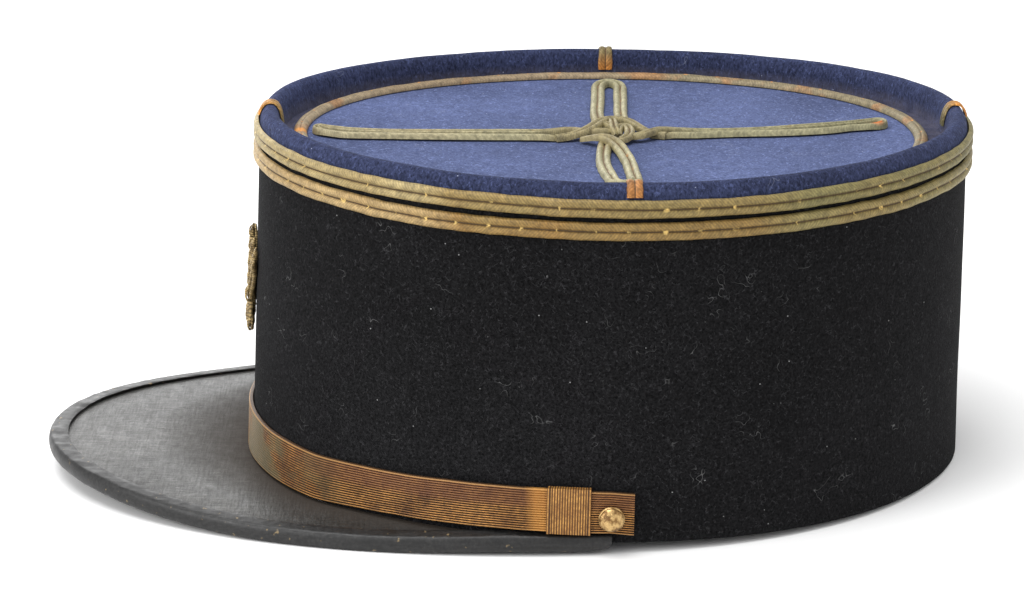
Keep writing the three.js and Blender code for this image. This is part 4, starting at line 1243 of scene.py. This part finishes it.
def cord(name, places, radius, twist=2.6, sides=10):
    steps = len(places) - 1
    length = sum((b - a).length for a, b in zip(places, places[1:]))

    def place(u, v):
        i = round(u * steps)
        ahead = (places[min(i + 1, steps)] - places[max(i - 1, 0)]).normalized()
        beside = ahead.cross(Vector((0.2, 0.1, 1))).normalized()
        across = ahead.cross(beside)
        angle = v * math.tau
        fat = radius * (1 + 0.2 * math.cos(2 * angle + twist * u * length)) * min(1, 0.4 + 6 * min(u, 1 - u))
        return stand(places[i] + (beside * math.cos(angle) + across * math.sin(angle)) * fat)

    return skin(name, steps, sides, (length, 4), place, smooth=70)


def flame(lean, long, shift):
    places = []
    for i in range(41):
        share = i / 40
        high = FLAME_HIGH * long * share
        x = math.copysign(min(abs(math.sin(lean)) * FLAME_HIGH * long, 12.3) * share**1.3, lean) if lean else 0
        spread = shift * 1.15 * math.sin(math.pi * min(share + 0.12, 1)) ** 0.7
        out = 0.75 + 0.75 * (shift == 0) * math.sin(math.pi * share) + 0.3 * math.sin(share * 9 + lean * 5)
        places.append(on_front(x + spread * math.cos(lean), out, BALL_MIDDLE + high - spread * math.sin(lean)))
    return places


def coil():
    places = []
    for i in range(321):
        share = i / 320
        radius = mix(0.5, BALL_RADIUS - 0.6, share)
        angle = share * 5 * math.tau
        out = 0.6 + 1.5 * (1 - share**2)
        places.append(on_front(radius * math.cos(angle), out, BALL_MIDDLE + radius * math.sin(angle)))
    return places


def wire_loop(x, low, high):
    angles = [math.pi * i / 20 for i in range(21)]
    proud = 1.1 if low > 44.5 or low < 37 else 1.9
    return [on_front(x + math.sin(2 * a), 0.9 + proud * math.sin(a), mix(low, high, (1 - math.cos(a)) / 2)) for a in angles]


parts = [cord(f"flame_{lean}_{shift}", flame(lean, long, shift), 0.62) for lean, long in FLAMES for shift in (-1, 0, 1)]
parts.append(cord("ball_coil", coil(), 0.62, twist=3.2))
WIRES = ((-2, 38, 42), (1, 39.5, 43.5), (3, 40, 44.5), (5, 41, 44), (0, 31, 34), (4, 32, 36), (2, 46, 49), (6, 48, 52),
         (-1, 51, 54), (4, 55, 58), (1, 58, 61))  # (sideways, low end, high end)
parts += [cord(f"wire_{i}", wire_loop(*wire), 0.22) for i, wire in enumerate(WIRES)]
bullion = Finish("bullion", roughness=0.42, metallic=0.45, specular=0.4)
along, _ = bullion.wrap()
colour = bullion.ramp(bullion.noise(0.5, detail=4, rough=0.7), (0.35, (0.13, 0.085, 0.035)), (0.65, (0.5, 0.37, 0.17)))
# painted shade between the turns of the coiled cord
colour = bullion.shade(colour, bullion.stripes(along, 1.4), (0.4, 1.2), (0.9, 0.3))
bullion.relief(bullion.noise(2, detail=2), 0.08)
finish(join("bullion_badge", parts), bullion.done(colour), "badge_bullion", "badge")

# %% [markdown]
# ## Floor, light and tone
# A pale floor and a wide, bright room: the photograph was lit by large soft sources with hardly a
# shadow. The main light comes from the upper left, and a low soft light behind the cap gives the
# leather and the rim their gloss.

# %% Stage
bpy.ops.object.select_all(action="DESELECT")
bpy.ops.mesh.primitive_plane_add(size=6, location=(0, 0, 0))
floor = bpy.context.object
floor.name = "floor"
paper = Finish("paper", roughness=0.9, specular=0.1)
floor.data.materials.append(paper.done((0.93, 0.93, 0.93)))


def soft_light(name, place, size, watts, aim=(0, 0.0, 0.05)):
    bpy.ops.object.light_add(type="AREA", location=place)
    lamp = bpy.context.object
    lamp.name = name
    lamp.data.shape = "DISK"
    lamp.data.size = size
    lamp.data.energy = watts
    lamp.rotation_euler = (Vector(aim) - Vector(place)).to_track_quat("-Z", "Y").to_euler()
    return lamp


soft_light("light_above", (0.15, -0.3, 1.3), 1.0, 12)
soft_light("light_left", (0.75, -1.25, 0.75), 0.8, 11)
soft_light("light_right", (0.7, 1.3, 0.7), 0.9, 2)
soft_light("light_behind", (-1.1, -0.4, 0.38), 0.8, 4)
world = bpy.data.worlds.new("studio")
world.use_nodes = True
world.node_tree.nodes["Background"].inputs["Color"].default_value = (1, 1, 1, 1)
world.node_tree.nodes["Background"].inputs["Strength"].default_value = 0.9
bpy.context.scene.world = world
bpy.context.scene.view_settings.view_transform = "Standard"
